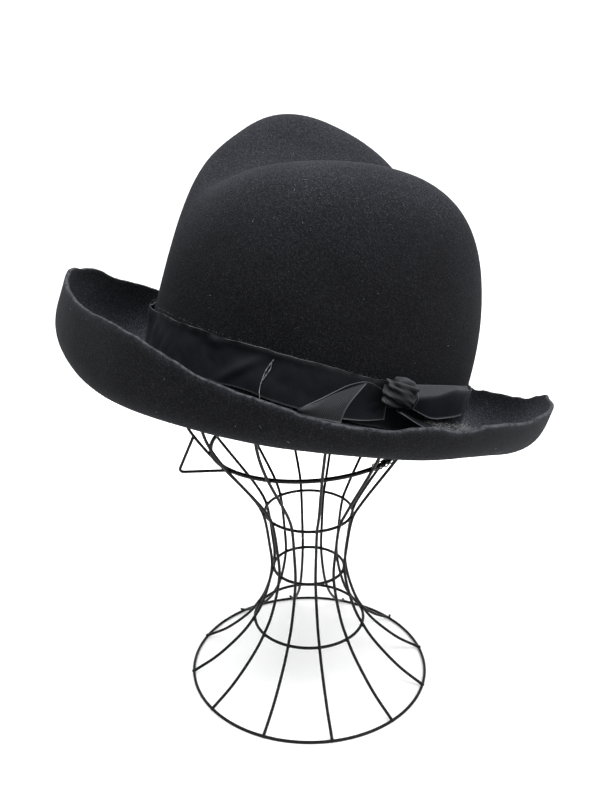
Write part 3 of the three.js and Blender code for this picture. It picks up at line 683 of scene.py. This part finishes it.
def ribbon_finish():
    """Black ribbed ribbon: ribs across its length, threads along it that make a dotted weave,
    and a dull silk sheen. The pattern follows the ribbon's own map, in metres, and it turns to
    a painted highlight, a paler colour, where the mark says that a turned side or a gather's
    ridge catches the light."""
    f = Finish("black ribbed ribbon")
    f.set(Roughness=0.66, Specular_IOR_Level=0.16, Sheen_Weight=0.02, Sheen_Roughness=0.4,
          Sheen_Tint=(0.6, 0.68, 0.85, 1.0))
    ribs, cords = (
        f.node("ShaderNodeTexWave", wave_type="BANDS", bands_direction=way, wave_profile="SIN",
               Vector=f.coordinates.outputs["UV"], Scale=scale, Distortion=distortion,
               Detail=1.0).outputs["Fac"]
        for way, scale, distortion in (("X", 236.0, 0.3), ("Y", 250.0, 0.4))
    )
    weave = f.maths("MULTIPLY", ribs, f.maths("MULTIPLY_ADD", cords, 0.75, 0.5))
    threads = f.noise(1.0, 2.0, 0.5, "UV", (900.0, 4200.0, 1.0))
    wear_and_painted_highlight = f.noise(55.0, 3.0, 0.55)
    dark = f.ramp(ribs, [(0.0, (0.0058, 0.0065, 0.0088)), (1.0, (0.0076, 0.0084, 0.0112))])
    light = f.ramp(weave, [(0.15, (0.0250, 0.0260, 0.0290)), (0.80, (0.0500, 0.0515, 0.0560))])
    # Painted highlight: where the pale mark is set, the colour turns to the lighter weave.
    colour = f.mix(dark, light, f.mark("pale"))
    colour = f.mix(colour, f.ramp(threads, [(0.3, 0.7), (0.7, 1.35)]), 0.8, "MULTIPLY")
    colour = f.mix(colour, f.ramp(wear_and_painted_highlight, [(0.3, 0.8), (0.72, 1.25)]), 0.7, "MULTIPLY")
    frayed = f.maths("MULTIPLY", f.mark("cut_edge"), 0.85)
    low = f.bump(ribs, 0.00012, 0.45)
    f.set(Base_Color=f.mix(colour, (0.105, 0.108, 0.116), frayed),
          Roughness=f.maths("MULTIPLY_ADD", wear_and_painted_highlight, 0.22, 0.5),
          Normal=f.bump(threads, 0.00005, 0.6, Normal=low))
    return f.material


def wire_finish():
    """Satin black coating on steel wire, with a faint orange-peel and dull handled patches."""
    f = Finish("satin black coated wire")
    handled = f.noise(90.0, 4.0, 0.6)
    f.set(Specular_IOR_Level=0.17, Metallic=0.0,
          Base_Color=f.ramp(handled, [(0.3, (0.0020, 0.0020, 0.0022)),
                                      (0.75, (0.0050, 0.0050, 0.0054))]),
          Roughness=f.ramp(handled, [(0.3, 0.34), (0.7, 0.55)]),
          Normal=f.bump(f.noise(2600.0, 2.0, 0.5), 0.00006, 0.5))
    return f.material


def thread_finish():
    """Pale lint and loose thread."""
    f = Finish("pale loose thread")
    tone = f.ramp(f.noise(700.0), [(0.35, (0.045, 0.045, 0.048)), (0.6, (0.26, 0.26, 0.27))])
    f.set(Roughness=0.85, Sheen_Weight=0.3, Base_Color=tone,
          Normal=f.bump(f.noise(3000.0), 0.00005))
    return f.material


def finish_piece(piece, material, slot, *nodes):
    piece.data.materials.append(material)
    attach(piece, "root")
    if nodes:
        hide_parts(*nodes)


FELT_LOOK = felt_finish()
RIBBON_LOOK = ribbon_finish()
WIRE_LOOK = wire_finish()
THREAD_LOOK = thread_finish()


# ---- the ribbon ----


def band_off(degrees, share):
    """How far the band's middle stands off the wall: its seat, the table's folds, a diagonal
    fold below its top on the wearer's left front, small creases, and crumples that are
    strongest at its foot."""
    off = BAND_OFF
    for middle, spread, height, reach, size in BAND_FOLDS:
        across = np.exp(-((share - height) / reach) ** 2)
        off = off + size * bell(degrees, middle, spread) * across
    middle, spread, size, height, reach, climb = BAND_DIAGONAL
    ridge = share - (height + climb * turn_gap(degrees, middle))
    off = off + size * np.exp(-((ridge / reach) ** 2)) * bell(degrees, middle, spread)
    a = np.radians(degrees)
    creases = (np.sin(13 * a + 3 * share) * np.sin(29 * a - 5 * share + 1.0)
               + 0.6 * np.sin(41 * a + 7 * share) * np.sin(5 * a))
    places = level(110 * np.cos(a), 110 * np.sin(a), 26 * share + 12 * np.sin(3 * a))
    crumple = waves(places, (23, 31, 17, 13), 81) * np.clip(1.3 - 0.5 * share, 0, 1)
    return off + 0.20 * np.abs(creases) + 0.34 * np.abs(crumple)


def ribbon_band():
    """A strip all round the foot of the crown, its top and bottom edges slightly uneven, with
    a pale top edge that comes and goes."""
    n, m = BAND_GRID
    degrees, share = np.meshgrid(np.arange(n) * 360.0 / n, np.linspace(0, 1, m))
    a = np.radians(degrees)
    wobble = 0.35 * np.sin(7 * a + 0.6) + 0.25 * np.sin(17 * a + 2.1) + 0.12 * np.sin(47 * a)
    sag, bulge, lift = (
        size * bell(degrees, middle, spread)
        for middle, spread, size in (BAND_SAG, BAND_BULGE, BAND_LIFT)
    )
    height = (RIBBON_FOOT + RIBBON * share * (1 - sag)
              + (wobble + bulge * share) * (0.4 + 0.6 * share) + lift * (1 - share) ** 2)
    rows = off_wall(degrees, height, band_off(degrees, share))
    uv = np.stack([degrees * ARC, RIBBON * share], -1)
    broken = 0.62 + 0.38 * waves(level(degrees * ARC, 0.0, 0.0), (19, 7.3, 11, 4.1), 91)
    edge = 1.25 * np.clip(broken, 0.1, 1.0) * np.exp(-(1 - share) * RIBBON / 0.5)
    return closed_sheet("ribbon_strip", rows, True, uv, edge)


def smooth_stations(stations, count):
    """Each column of a short table, carried smoothly through its rows."""
    stations = np.asarray(stations, float)
    n = len(stations)
    padded = extended(stations)
    t = np.linspace(0, n - 1, count)
    i = np.minimum(t.astype(int), n - 2)
    return cubic(*(padded[i + k] for k in range(4)), (t - i)[:, None])


# stations of the bow's pieces: for each line along the ribbon an azimuth, a height above the
# band's foot as a share of the ribbon's width, and a stand-off as a share of it too
LOOP = [
    # low line            high line
    (295.0, 0.20, 0.105, 294.5, 0.74, 0.105),
    (289.5, 0.10, 0.095, 290.4, 0.84, 0.095),
    (284.5, 0.05, 0.095, 286.0, 0.89, 0.095),
    (279.5, 0.02, 0.10, 281.0, 0.74, 0.10),
    (273.5, -0.01, 0.14, 275.0, 0.40, 0.14),
    (268.9, -0.02, 0.22, 269.2, 0.07, 0.22),
    (271.5, -0.01, 0.36, 272.6, 0.27, 0.35),
    (275.5, 0.01, 0.43, 277.6, 0.60, 0.38),
    (280.5, 0.03, 0.46, 285.0, 0.93, 0.36),
]
UPPER_TAIL = [
    # foot line             fold line             back line
    (302.0, 0.56, 0.27, 302.4, 0.80, 0.31, 302.4, 1.03, 0.085),
    (310.0, 0.42, 0.29, 310.0, 0.90, 0.31, 310.0, 1.09, 0.105),
    (318.0, 0.45, 0.27, 318.0, 1.05, 0.28, 318.0, 1.13, 0.13),
    (328.5, 0.51, 0.23, 329.0, 1.06, 0.22, 329.4, 1.15, 0.14),
]
LOWER_TAIL = [
    # inner line            outer line
    (297.5, 0.485, 0.15, 297.5, 0.465, 0.38),
    (306.0, 0.32, 0.16, 306.0, 0.27, 0.48),
    (316.0, 0.26, 0.16, 316.0, 0.22, 0.56),
    (326.0, 0.24, 0.16, 326.0, 0.20, 0.60),
    (336.0, 0.22, 0.14, 336.0, 0.19, 0.56),
]


def bow_rows(stations, bulge, hollow=0.0):
    """Lines along a ribbon end, with a soft bulge between them: the points between two lines
    are carried straight across and lifted along the normal by a half sine. The last stretch
    is drawn back between its corners by the hollow. Gives the grid, its map in millimetres
    and how pale its cut edges are."""
    table = smooth_stations(stations, BOW_ALONG)
    lines = np.array([
        off_wall(table[:, k], RIBBON_FOOT + RIBBON * table[:, k + 1], RIBBON * table[:, k + 2])
        for k in range(0, table.shape[1], 3)
    ])
    place = np.linspace(0, len(lines) - 1, BOW_ACROSS)
    i = np.minimum(place.astype(int), len(lines) - 2)
    f = (place - i)[:, None, None]
    rows = lines[i] * (1 - f) + lines[i + 1] * f
    share = np.linspace(0, 1, BOW_ACROSS)[:, None, None]
    arch = np.sin(np.pi * share)
    t = np.linspace(0, 1, BOW_ALONG)[None, :, None]
    rows = rows - unit(np.gradient(rows, axis=1)) * hollow * arch * smooth((t - 0.72) / 0.28)
    ripple = arch * (np.sin(9 * t + 3 * share) + 0.5 * np.sin(23 * t - 4 * share))
    rows = rows + grid_normals(rows, False) * (bulge * arch + 0.22 * ripple)
    steps = np.linalg.norm(np.diff(lines.mean(axis=0), axis=0), axis=1)
    length, width = np.meshgrid(np.append(0, np.cumsum(steps)), RIBBON * share.ravel())
    to_edge = np.minimum(np.minimum(length, length[:, -1:] - length),
                         np.minimum(width, RIBBON - width))
    return rows, np.stack([length, width], -1), 0.8 * np.exp(-to_edge / 0.35)


def bow_end(name, stations, bulge, hollow, pale):
    rows, uv, edge = bow_rows(stations, bulge, hollow)
    return closed_sheet(name, rows, False, uv, edge, pale)


def pale_run(start, strength):
    """Pale along the ribbon's face from a share of its length on, as where the loop's outer
    side catches the light when it turns back toward the knot."""
    return strength * smooth((np.linspace(0, 1, BOW_ALONG)[None, :] - start) / 0.06)


def pale_strip(start, strength):
    """A painted highlight across the ribbon's face from a share of its width on, as where a
    tail's turned-over strip catches the light."""
    return strength * smooth((np.linspace(0, 1, BOW_ACROSS)[:, None] - start) / 0.05)


def bow_knot():
    """A rounded pillow whose skin is drawn into gathers: a ball, squared a little, with
    slanting ridges whose height falls off toward its sides. It has a painted highlight, a paler
    colour, on its ridges."""
    m, n = KNOT_GRID
    ball = sphere(m, n)
    full = np.sign(ball) * np.abs(ball) ** KNOT_SQUARE
    slant = ball[..., 0] * 5.2 + ball[..., 1] * 8.5
    to_side = np.sin(np.linspace(0, np.pi, m))[:, None] ** 0.5
    ridges = (0.040 * np.sin(slant + 1.4 * np.sin(3 * ball[..., 1])) * to_side
              + 0.115 * waves(ball, (0.9, 0.62, 0.45, 0.38), 51)
              + 0.02 * np.sin(2.3 * slant + 1.0))
    full = full * (1 + ridges)[..., None]
    (degrees, height, off), (long, tall, deep) = KNOT_PLACE, KNOT_REACH
    rows = off_wall(
        degrees + full[..., 0] * long * RIBBON / ARC,
        RIBBON_FOOT + RIBBON * (height + tall * full[..., 1]),
        np.maximum(RIBBON * (off + deep * full[..., 2]), KNOT_CLEAR),
    )
    points = placed(rows.reshape(-1, 3))
    uv = np.stack([slant * 2.4, full[..., 0] * 9.0], -1).reshape(-1, 2)
    # Painted highlight where the ridges stand out.
    painted_crest_highlight = np.clip(0.42 + 0.9 * ridges / 0.2, 0.0, 1.2)
    faces = outward(points, grid_faces(m, n, True))
    piece = put_mesh("ribbon_gather", points, faces, uv, pale=painted_crest_highlight)
    work = bmesh.new()
    work.from_mesh(piece.data)
    bmesh.ops.remove_doubles(work, verts=work.verts, dist=1e-6)
    work.to_mesh(piece.data)
    work.free()
    return piece


# ---- wires and threads ----

def station_curve(points, per_span):
    """A smooth curve through points: each span is a cubic whose end slopes weigh the spans
    on both sides by the square root of their lengths."""
    p = extended(points)
    knots = np.maximum(np.linalg.norm(np.diff(p, axis=0), axis=1), 1e-9) ** 0.5
    spans = []
    t = np.linspace(0, 1, per_span, endpoint=False)[:, None]
    for i in range(len(points) - 1):
        x0, x1, x2, x3 = p[i:i + 4]
        d0, d1, d2 = knots[i:i + 3]
        t1 = ((x1 - x0) / d0 - (x2 - x0) / (d0 + d1) + (x2 - x1) / d1) * d1
        t2 = ((x2 - x1) / d1 - (x3 - x1) / (d1 + d2) + (x3 - x2) / d2) * d1
        spans.append(x1 + t1 * t + (-3 * x1 + 3 * x2 - 2 * t1 - t2) * t ** 2
                     + (2 * x1 - 2 * x2 + t1 + t2) * t ** 3)
    return np.concatenate(spans + [points[-1:]])


def tube(path, radius, sides, closed=False):
    """A round tube along a path: circles square to it, turned as little as possible from one
    to the next, with rounded ends where it is open. Gives points and faces."""
    if closed:
        ahead = unit(np.roll(path, -1, axis=0) - np.roll(path, 1, axis=0))
    else:
        ahead = unit(np.gradient(path, axis=0))
    if np.abs(ahead[:, 2]).max() < 0.95:
        first = unit(np.cross(ahead, [0.0, 0.0, 1.0]))
    else:
        across = np.cross(ahead[0], ahead[len(ahead) // 2])
        first = unit(across - ahead * (ahead @ across)[:, None])
    second = np.cross(ahead, first)
    radius = np.full(len(path), float(radius))
    if not closed:
        ends = np.linspace(0, np.pi / 2, 4)[:-1]
        caps = [radius[0] * max(math.sin(a), 0.02) for a in ends]
        head = [path[0] - ahead[0] * radius[0] * math.cos(a) for a in ends]
        tail = [path[-1] + ahead[-1] * radius[0] * math.cos(a) for a in ends[::-1]]
        path = np.concatenate([head, path, tail])
        radius = np.concatenate([caps, radius, caps[::-1]])
        first, second = (np.pad(v, ((3, 3), (0, 0)), mode="edge") for v in (first, second))
    a = full_turn(sides)[None, :, None]
    rows = path[:, None] + radius[:, None, None] * (
        np.cos(a) * first[:, None] + np.sin(a) * second[:, None])
    m = len(rows)
    faces = list(grid_faces(m, sides, True))
    last = (m - 1) * sides
    if closed:
        i = np.arange(sides)
        k = (i + 1) % sides
        faces += list(np.stack([last + i, last + k, k, i], -1))
    else:
        faces += [tuple(range(sides))[::-1], tuple(range(last, m * sides))]
    return rows.reshape(-1, 3), faces


def joined(name, parts):
    """Several tubes as one mesh, each turned right side out."""
    points, faces, first = [], [], 0
    for p, f in parts:
        points.append(p)
        faces += [tuple(v + first for v in face) for face in outward(p, f)]
        first += len(p)
    return put_mesh(name, np.concatenate(points), faces)


def upright(azimuth):
    """One upright's points, one at each section of the stand."""
    height, long, wide, shift = STAND_SECTIONS[:, :4].T
    return level(shift + long * np.cos(azimuth), wide * np.sin(azimuth), height)


UPRIGHT_AZIMUTHS = np.radians(UPRIGHT_TURN + 360.0 * np.arange(UPRIGHTS) / UPRIGHTS)


def ring_point(row, inside, azimuth):
    """A point on a ring, as far inside the uprights as is told: its rise follows the ring's two
    slopes, and its reach grows with the rise as the uprights flare."""
    height, long, wide, shift, _, lean, pitch = STAND_SECTIONS[row]
    rise = lean * wide * np.sin(azimuth) + pitch * long * np.cos(azimuth)
    off = FLARE[row] * rise - inside
    return level(shift + (long + off) * np.cos(azimuth), (wide + off) * np.sin(azimuth),
                 height + rise)


def stand_wires():
    """Twelve uprights, the rings inside them, the base ring under their feet, the ring at
    their tops, and the bent loop at the front."""
    parts = [tube(station_curve(upright(a), 9), WIRE / 2, 12) for a in UPRIGHT_AZIMUTHS]
    base = ring_point(0, 0.0, full_turn(180))
    base[:, 2] = BASE_WIRE / 2
    parts.append(tube(base, BASE_WIRE / 2, 14, True))
    for row in RING_ROWS:
        size = CHIN_WIRE if row == CHIN_ROW else WIRE
        ring = ring_point(row, (WIRE + size) / 2 - RING_SINK, full_turn(120))
        if row == RING_ROWS[-1]:
            ring[:, 2] -= TOP_RING_DROP
        parts.append(tube(ring, size / 2, 12, True))

    front = station_curve(upright(UPRIGHT_AZIMUTHS[NOSE_UPRIGHT]), 60)
    low_height, tip_height, high_height = (
        CHIN_HEIGHT + (HEAD_HEIGHT - CHIN_HEIGHT) * share for share in NOSE_HEIGHTS)
    low, high = (front[np.argmin(np.abs(front[:, 2] - h))] for h in (low_height, high_height))
    tip = low + np.array([-NOSE_REACH, 0.0, tip_height - low[2]])
    a, b = (tip + (end - tip) * NOSE_ROUNDING for end in (low, high))
    t = np.linspace(0, 1, 15)[:, None]
    bend = a * (1 - t) ** 2 + 2 * tip * t * (1 - t) + b * t ** 2
    path = np.concatenate([np.linspace(low, a, 12)[:-1], bend, np.linspace(b, high, 12)[1:]])
    return joined("stand_wires", parts + [tube(path, WIRE / 2, 12)])


def wrapped_joint():
    """A loose coil of thin wire round the widest near-side joint: a helix about the ring, whose
    radius swells and shrinks a little, with a tail that runs off along the upright."""
    t = np.linspace(0, 1, 150)
    azimuth = np.radians(COIL_AZIMUTHS[0] + COIL_AZIMUTHS[1] * t)
    middle = ring_point(CHIN_ROW, (WIRE + CHIN_WIRE) / 2 - RING_SINK, azimuth)
    out = unit(np.cross(unit(np.gradient(middle, axis=0)), [0.0, 0.0, 1.0]))
    turn = 2 * np.pi * COIL_TURNS * t + 0.5 * np.sin(9 * t)
    reach = 2.1 + 0.35 * np.sin(23 * t)
    around_it = np.cos(turn)[:, None] * out + np.sin(turn)[:, None] * [0.0, 0.0, 1.0]
    coil = middle + reach[:, None] * around_it
    t = np.linspace(0, 1, 14)
    tail = coil[-1] + (coil[-1] - coil[-2]) * 2.0 + level(4.5 * t, -0.2 * t ** 2, 5.5 * t)
    return joined("stand_wrapped_joint", [tube(np.concatenate([coil, tail]), COIL_WIRE / 2, 8)])


def stand_welds():
    """Small beads where wires cross, flattened a little and each a bit different, and short
    ends of wire that stick out past the base ring at the back."""
    rng = np.random.default_rng(5)
    ball, faces = sphere(9, 12).reshape(-1, 3), grid_faces(9, 12, True)
    parts = []
    for row, inside in [(0, -0.1)] + [(row, 0.8) for row in RING_ROWS[:-1]]:
        for azimuth in UPRIGHT_AZIMUTHS:
            size = np.array([1.35, 1.35, 1.2]) * rng.uniform(0.92, 1.12, 3)
            parts.append((ring_point(row, inside, azimuth) + ball * size, faces))
    for azimuth, reach in zip(UPRIGHT_AZIMUTHS[1:5], (2.3, 1.8, 2.6, 2.0)):
        out = np.array([math.cos(azimuth + 0.5), math.sin(azimuth + 0.5), 0.2])
        stub = ring_point(0, 0.0, azimuth) + out * np.linspace(0, reach, 5)[:, None]
        parts.append(tube(stub, WIRE * 0.45, 10))
    return joined("stand_welds", parts)


def wisps(name, roots, ways, lengths, radius, seed, sides=3, steps=4, curl=0.5, **marks):
    """Short loose fibres: each starts at its root, runs its own way and bends by a steady
    amount, and tapers to a point. All of them are worked out as one array, in the hat's own
    frame. A mark has one value for all."""
    rng = np.random.default_rng(seed)
    count = len(roots)
    roots, ways = placed(roots), placed(ways) - HAT_SEAT
    bend = unit(rng.normal(size=(count, 3)))
    s = np.linspace(0, 1, steps)[None, :, None]
    path = ways[:, None] * s + bend[:, None] * curl * s ** 2
    path = roots[:, None] + lengths[:, None, None] * path
    side = unit(np.cross(ways, bend + 1e-3))[:, None]
    other = unit(np.cross(ways[:, None], side))
    a = full_turn(sides)[None, None, :, None]
    circle = np.cos(a) * side[:, :, None] + np.sin(a) * other[:, :, None]
    rows = path[:, :, None] + radius * (1 - 0.75 * s[..., None]) * circle
    points = rows.reshape(-1, 3)
    first = (np.arange(count) * steps * sides)[:, None, None]
    caps = np.stack([np.arange(sides)[::-1], (steps - 1) * sides + np.arange(sides)])
    faces = (grid_faces(steps, sides, True) + first).reshape(-1, 4).tolist()
    faces += (caps + first).reshape(-1, sides).tolist()
    marks = {mark: np.full(len(points), value) for mark, value in marks.items()}
    return put_mesh(name, points, faces, **marks)


def felt_spots(count, seed):
    """Places spread over the outside of the crown and both sides of the brim, with the
    direction out of the felt at each."""
    rng = np.random.default_rng(seed)
    rises = np.linspace(0.98, 0.02, 60)
    rows, normals = felt_side(rises, np.linspace(0.02, 1, 50))
    span = np.linalg.norm(np.roll(rows, -1, axis=1) - rows, axis=-1)
    tall = np.linalg.norm(np.gradient(rows, axis=0), axis=-1)
    weight = (span * tall).ravel()
    pick = rng.choice(len(weight), count, p=weight / weight.sum())
    spot, normal = rows.reshape(-1, 3)[pick], normals.reshape(-1, 3)[pick]
    under = ((pick >= len(rises) * AROUND) & (rng.uniform(size=count) < 0.5))[:, None]
    return np.where(under, spot - normal * FELT, spot), np.where(under, -normal, normal), rng


def felt_fuzz():
    """Short fibres that lean out of the felt."""
    spot, normal, rng = felt_spots(5200, 21)
    lean = unit(normal * 0.55 + rng.normal(size=spot.shape) * 0.6)
    size = rng.uniform(0.7, 1.9, len(spot))
    return wisps("felt_fuzz", spot - normal * 0.2, lean, size, 0.035, 22, tone=1.0)


def rim_fuzz():
    """Pale broken fibres that stand out of the raw cut all round the brim."""
    rng = np.random.default_rng(61)
    count = 3600
    degrees = np.sort(rng.uniform(0, 360, count))
    low, high = brim(degrees, np.array([0.97, 1.0]))
    a = np.radians(degrees)
    ahead = unit(high - low)
    across = unit(np.cross(high - low, level(-np.sin(a), np.cos(a), 0.0)))
    across = across * np.sign(across[:, 2:] + 1e-6)
    root = high + across * rng.uniform(-FELT, 0.2, count)[:, None] + ahead * 0.3
    way = unit(ahead + 0.8 * rng.normal(size=(count, 3)))
    size = rng.uniform(0.5, 1.5, count)
    return wisps("rim_fuzz", root, way, size, 0.04, 62, cut_edge=0.75, tone=1.0)


def lint():
    """A few pale specks and hairs that lie on the felt."""
    spot, normal, rng = felt_spots(150, 31)
    flat = rng.normal(size=spot.shape)
    flat = unit(flat - normal * np.sum(flat * normal, axis=1, keepdims=True) + normal * 0.12)
    return wisps("lint", spot + normal * 0.15, flat, rng.uniform(0.35, 1.6, len(spot)), 0.09, 32)


def stray_thread():
    """One pale thread that hangs over the band, doubled at its top."""
    strands = (
        [(256.9, 1.4, 3.0), (256.3, 5.0, 3.2), (256.1, 8.6, 3.0), (256.2, 12.5, 2.8),
         (256.5, 16.6, 2.6), (257.2, 20.5, 2.4), (257.9, 23.4, 2.6)],
        [(256.3, 11.0, 3.0), (257.1, 15.0, 2.7), (257.7, 18.5, 2.5), (257.6, 21.8, 2.6)],
    )
    return joined("stray_thread", [
        tube(placed(station_curve(off_wall(*np.array(strand).T), 8)), 0.27, 6)
        for strand in strands
    ])


def frayed_edge():
    """Loose ends of thread along the band's top edge and the raw ends of the bow."""
    rng = np.random.default_rng(41)
    count, end_count = 420, 60
    degrees = rng.uniform(0, 360, count)
    root = off_wall(degrees, RIBBON_FOOT + RIBBON + 0 * degrees, band_off(degrees, 1.0))
    side, along = 0.5 * rng.normal(size=count), 0.5 * rng.normal(size=count)
    way = level(side, along, rng.uniform(0.2, 1.0, count))
    way = unit(way + 0.35 * plan_normal(np.radians(degrees)))
    ends = [(root, way, rng.uniform(0.5, 1.8, count))]
    for stations in (UPPER_TAIL, LOWER_TAIL, LOWER_TAIL):
        rows = bow_rows(stations, 0.6)[0][rng.integers(0, BOW_ACROSS, end_count)]
        tip = rows[:, -1]
        way = unit(unit(tip - rows[:, -5]) + 0.45 * rng.normal(size=tip.shape))
        ends.append((tip, way, rng.uniform(0.8, 3.0, end_count)))
    root, way, size = (np.concatenate(part) for part in zip(*ends))
    return wisps("frayed_threads", root, way, size, 0.085, 42, 4, 5, 0.35, cut_edge=1.0)


def tail_frays():
    """The lower tail's end comes apart into loose crossing threads that lie along it."""
    rng = np.random.default_rng(71)
    count = 260
    rows = bow_rows(LOWER_TAIL, 0.6)[0]
    across, along = rng.integers(0, BOW_ACROSS, count), rng.integers(34, BOW_ALONG, count)
    root = rows[across, along] + rng.normal(size=(count, 3)) * [0.5, 0.5, 0.3]
    run = unit(np.gradient(rows, axis=1)[across, along]) * rng.choice([-1.0, 1.0], count)[:, None]
    way = unit(run + rng.normal(size=(count, 3)) * [0.6, 0.6, 0.45] + [0, 0, 0.15])
    size = rng.uniform(1.5, 6.0, count)
    return wisps("tail_frays", root + [0, 0, 0.5], way, size, 0.13, 72, 4, 6, 0.5)


# ---- build ----
finish_piece(felt_body(), FELT_LOOK, "felt", "felt_body")
finish_piece(felt_fuzz(), FELT_LOOK, "felt")
finish_piece(rim_fuzz(), FELT_LOOK, "felt")
finish_piece(lint(), THREAD_LOOK, "felt")
band = ribbon_band()
finish_piece(band, RIBBON_LOOK, "ribbon", "ribbon_band")
finish_piece(bow_knot(), RIBBON_LOOK, "ribbon", "ribbon_knot")
loop = bow_end("bow_front_loop", LOOP, 0.9, 2.6, pale_run(0.64, 0.72))
finish_piece(loop, RIBBON_LOOK, "ribbon", "ribbon_loop")
upper_tail = bow_end("bow_upper_tail", UPPER_TAIL, 0.5, 0.0, pale_strip(0.52, 0.6))
finish_piece(upper_tail, RIBBON_LOOK, "ribbon", "ribbon_tail_upper")
lower_tail = bow_end("bow_lower_tail", LOWER_TAIL, 0.6, 0.0, pale_strip(0.7, 0.6))
finish_piece(lower_tail, RIBBON_LOOK, "ribbon", "ribbon_tail_lower")
finish_piece(frayed_edge(), RIBBON_LOOK, "ribbon")
finish_piece(tail_frays(), THREAD_LOOK, "ribbon")
finish_piece(stray_thread(), THREAD_LOOK, "ribbon")
finish_piece(stand_wires(), WIRE_LOOK, "wire", "wire_stand")
finish_piece(stand_welds(), WIRE_LOOK, "wire")
finish_piece(wrapped_joint(), WIRE_LOOK, "wire")


# ---- floor, light and camera ----

def backdrop():
    """A pale floor that runs back and sweeps up into a wall."""
    t = np.linspace(0, np.pi / 2, 60)
    flat = np.linspace(-1500, 1500, 12)
    reach = np.concatenate([[-3000.0], flat, 1500 + 900 * np.sin(t), [2400.0]])
    height = np.concatenate([np.zeros(13), 900 * (1 - np.cos(t)), [4000.0]])
    points = level(np.array([-4000.0, 4000.0]), reach[:, None], height[:, None]).reshape(-1, 3)
    floor = put_mesh("floor", points, grid_faces(len(reach), 2, False))
    look = Finish("pale floor")
    tone = look.ramp(look.noise(6.0), [(0.3, (0.90, 0.90, 0.902)), (0.7, (0.92, 0.92, 0.922))])
    look.set(Roughness=0.9, Specular_IOR_Level=0.1, Base_Color=tone,
             Emission_Color=(1.0, 1.0, 1.0, 1.0), Emission_Strength=0.14)
    floor.data.materials.append(look.material)


def stand_object(name, data, place, right, up, back):
    """Links a light or camera, placed in metres, by its own right, up and back directions."""
    item = bpy.data.objects.new(name, data)
    bpy.context.scene.collection.objects.link(item)
    rows = [[right[k], up[k], back[k], place[k]] for k in range(3)]
    item.matrix_world = Matrix(rows + [[0, 0, 0, 1]])
    return item


def area_light(name, place, aim, size, power):
    """A rectangle of light whose first side is level. Where it points almost straight down,
    its second side lies along Y."""
    data = bpy.data.lights.new(name, "AREA")
    data.shape = "RECTANGLE"
    data.size, data.size_y = size
    data.energy = power
    back = unit(np.array(place, float) - np.array(aim, float))
    steep = abs(back[2]) > 0.99
    right = unit(np.cross([0.0, 1.0, 0.0] if steep else [0.0, 0.0, 1.0], back))
    stand_object(name, data, place, right, np.cross(back, right), back)


def camera():
    """The photograph's view: 453 mm in front of the stand's axis and 327 mm up, looking 16
    degrees down, with a focal length of 0.9 of the picture's height."""
    pitch, yaw, roll = (math.radians(v) for v in (15.983, -0.694, -0.366))
    place = np.array([0.0, -452.69, 327.11])
    ahead = np.array([math.sin(yaw) * math.cos(pitch), math.cos(yaw) * math.cos(pitch),
                      -math.sin(pitch)])
    right = unit(np.cross(ahead, [0.0, 0.0, 1.0]))
    up = np.cross(right, ahead)
    data = bpy.data.cameras.new("view")
    data.sensor_width = 36.0
    data.lens = 0.9 * data.sensor_width
    data.clip_start = 0.01
    bpy.context.scene.camera = stand_object(
        "view", data, (place + STAND_AXIS) * MM,
        right * math.cos(roll) + up * math.sin(roll),
        up * math.cos(roll) - right * math.sin(roll), -ahead)


def sky():
    """White light from all round that grows with height."""
    world = bpy.data.worlds.new("studio")
    world.use_nodes = True
    nodes, links = world.node_tree.nodes, world.node_tree.links
    way = nodes.new("ShaderNodeTexCoord")
    split = nodes.new("ShaderNodeSeparateXYZ")
    fall = nodes.new("ShaderNodeMapRange")
    for name, value in (("From Min", -0.1), ("From Max", 0.9), ("To Min", 0.10), ("To Max", 1.1)):
        fall.inputs[name].default_value = value
    links.new(way.outputs["Generated"], split.inputs["Vector"])
    links.new(split.outputs["Z"], fall.inputs["Value"])
    links.new(fall.outputs["Result"], nodes["Background"].inputs["Strength"])
    nodes["Background"].inputs["Color"].default_value = (1.0, 1.0, 1.0, 1.0)
    bpy.context.scene.world = world
    bpy.context.scene.view_settings.view_transform = "Standard"


backdrop()
area_light("top softbox", (-0.10, -0.15, 1.6), (0, 0, 0.2), (1.5, 1.5), 36)
area_light("right softbox", (1.0, -0.5, 1.2), (0, 0, 0.25), (0.9, 0.9), 15)
area_light("back wash", (0.2, 1.1, 1.5), (0, 1.6, 0.2), (2.4, 1.2), 12)
camera()
sky()
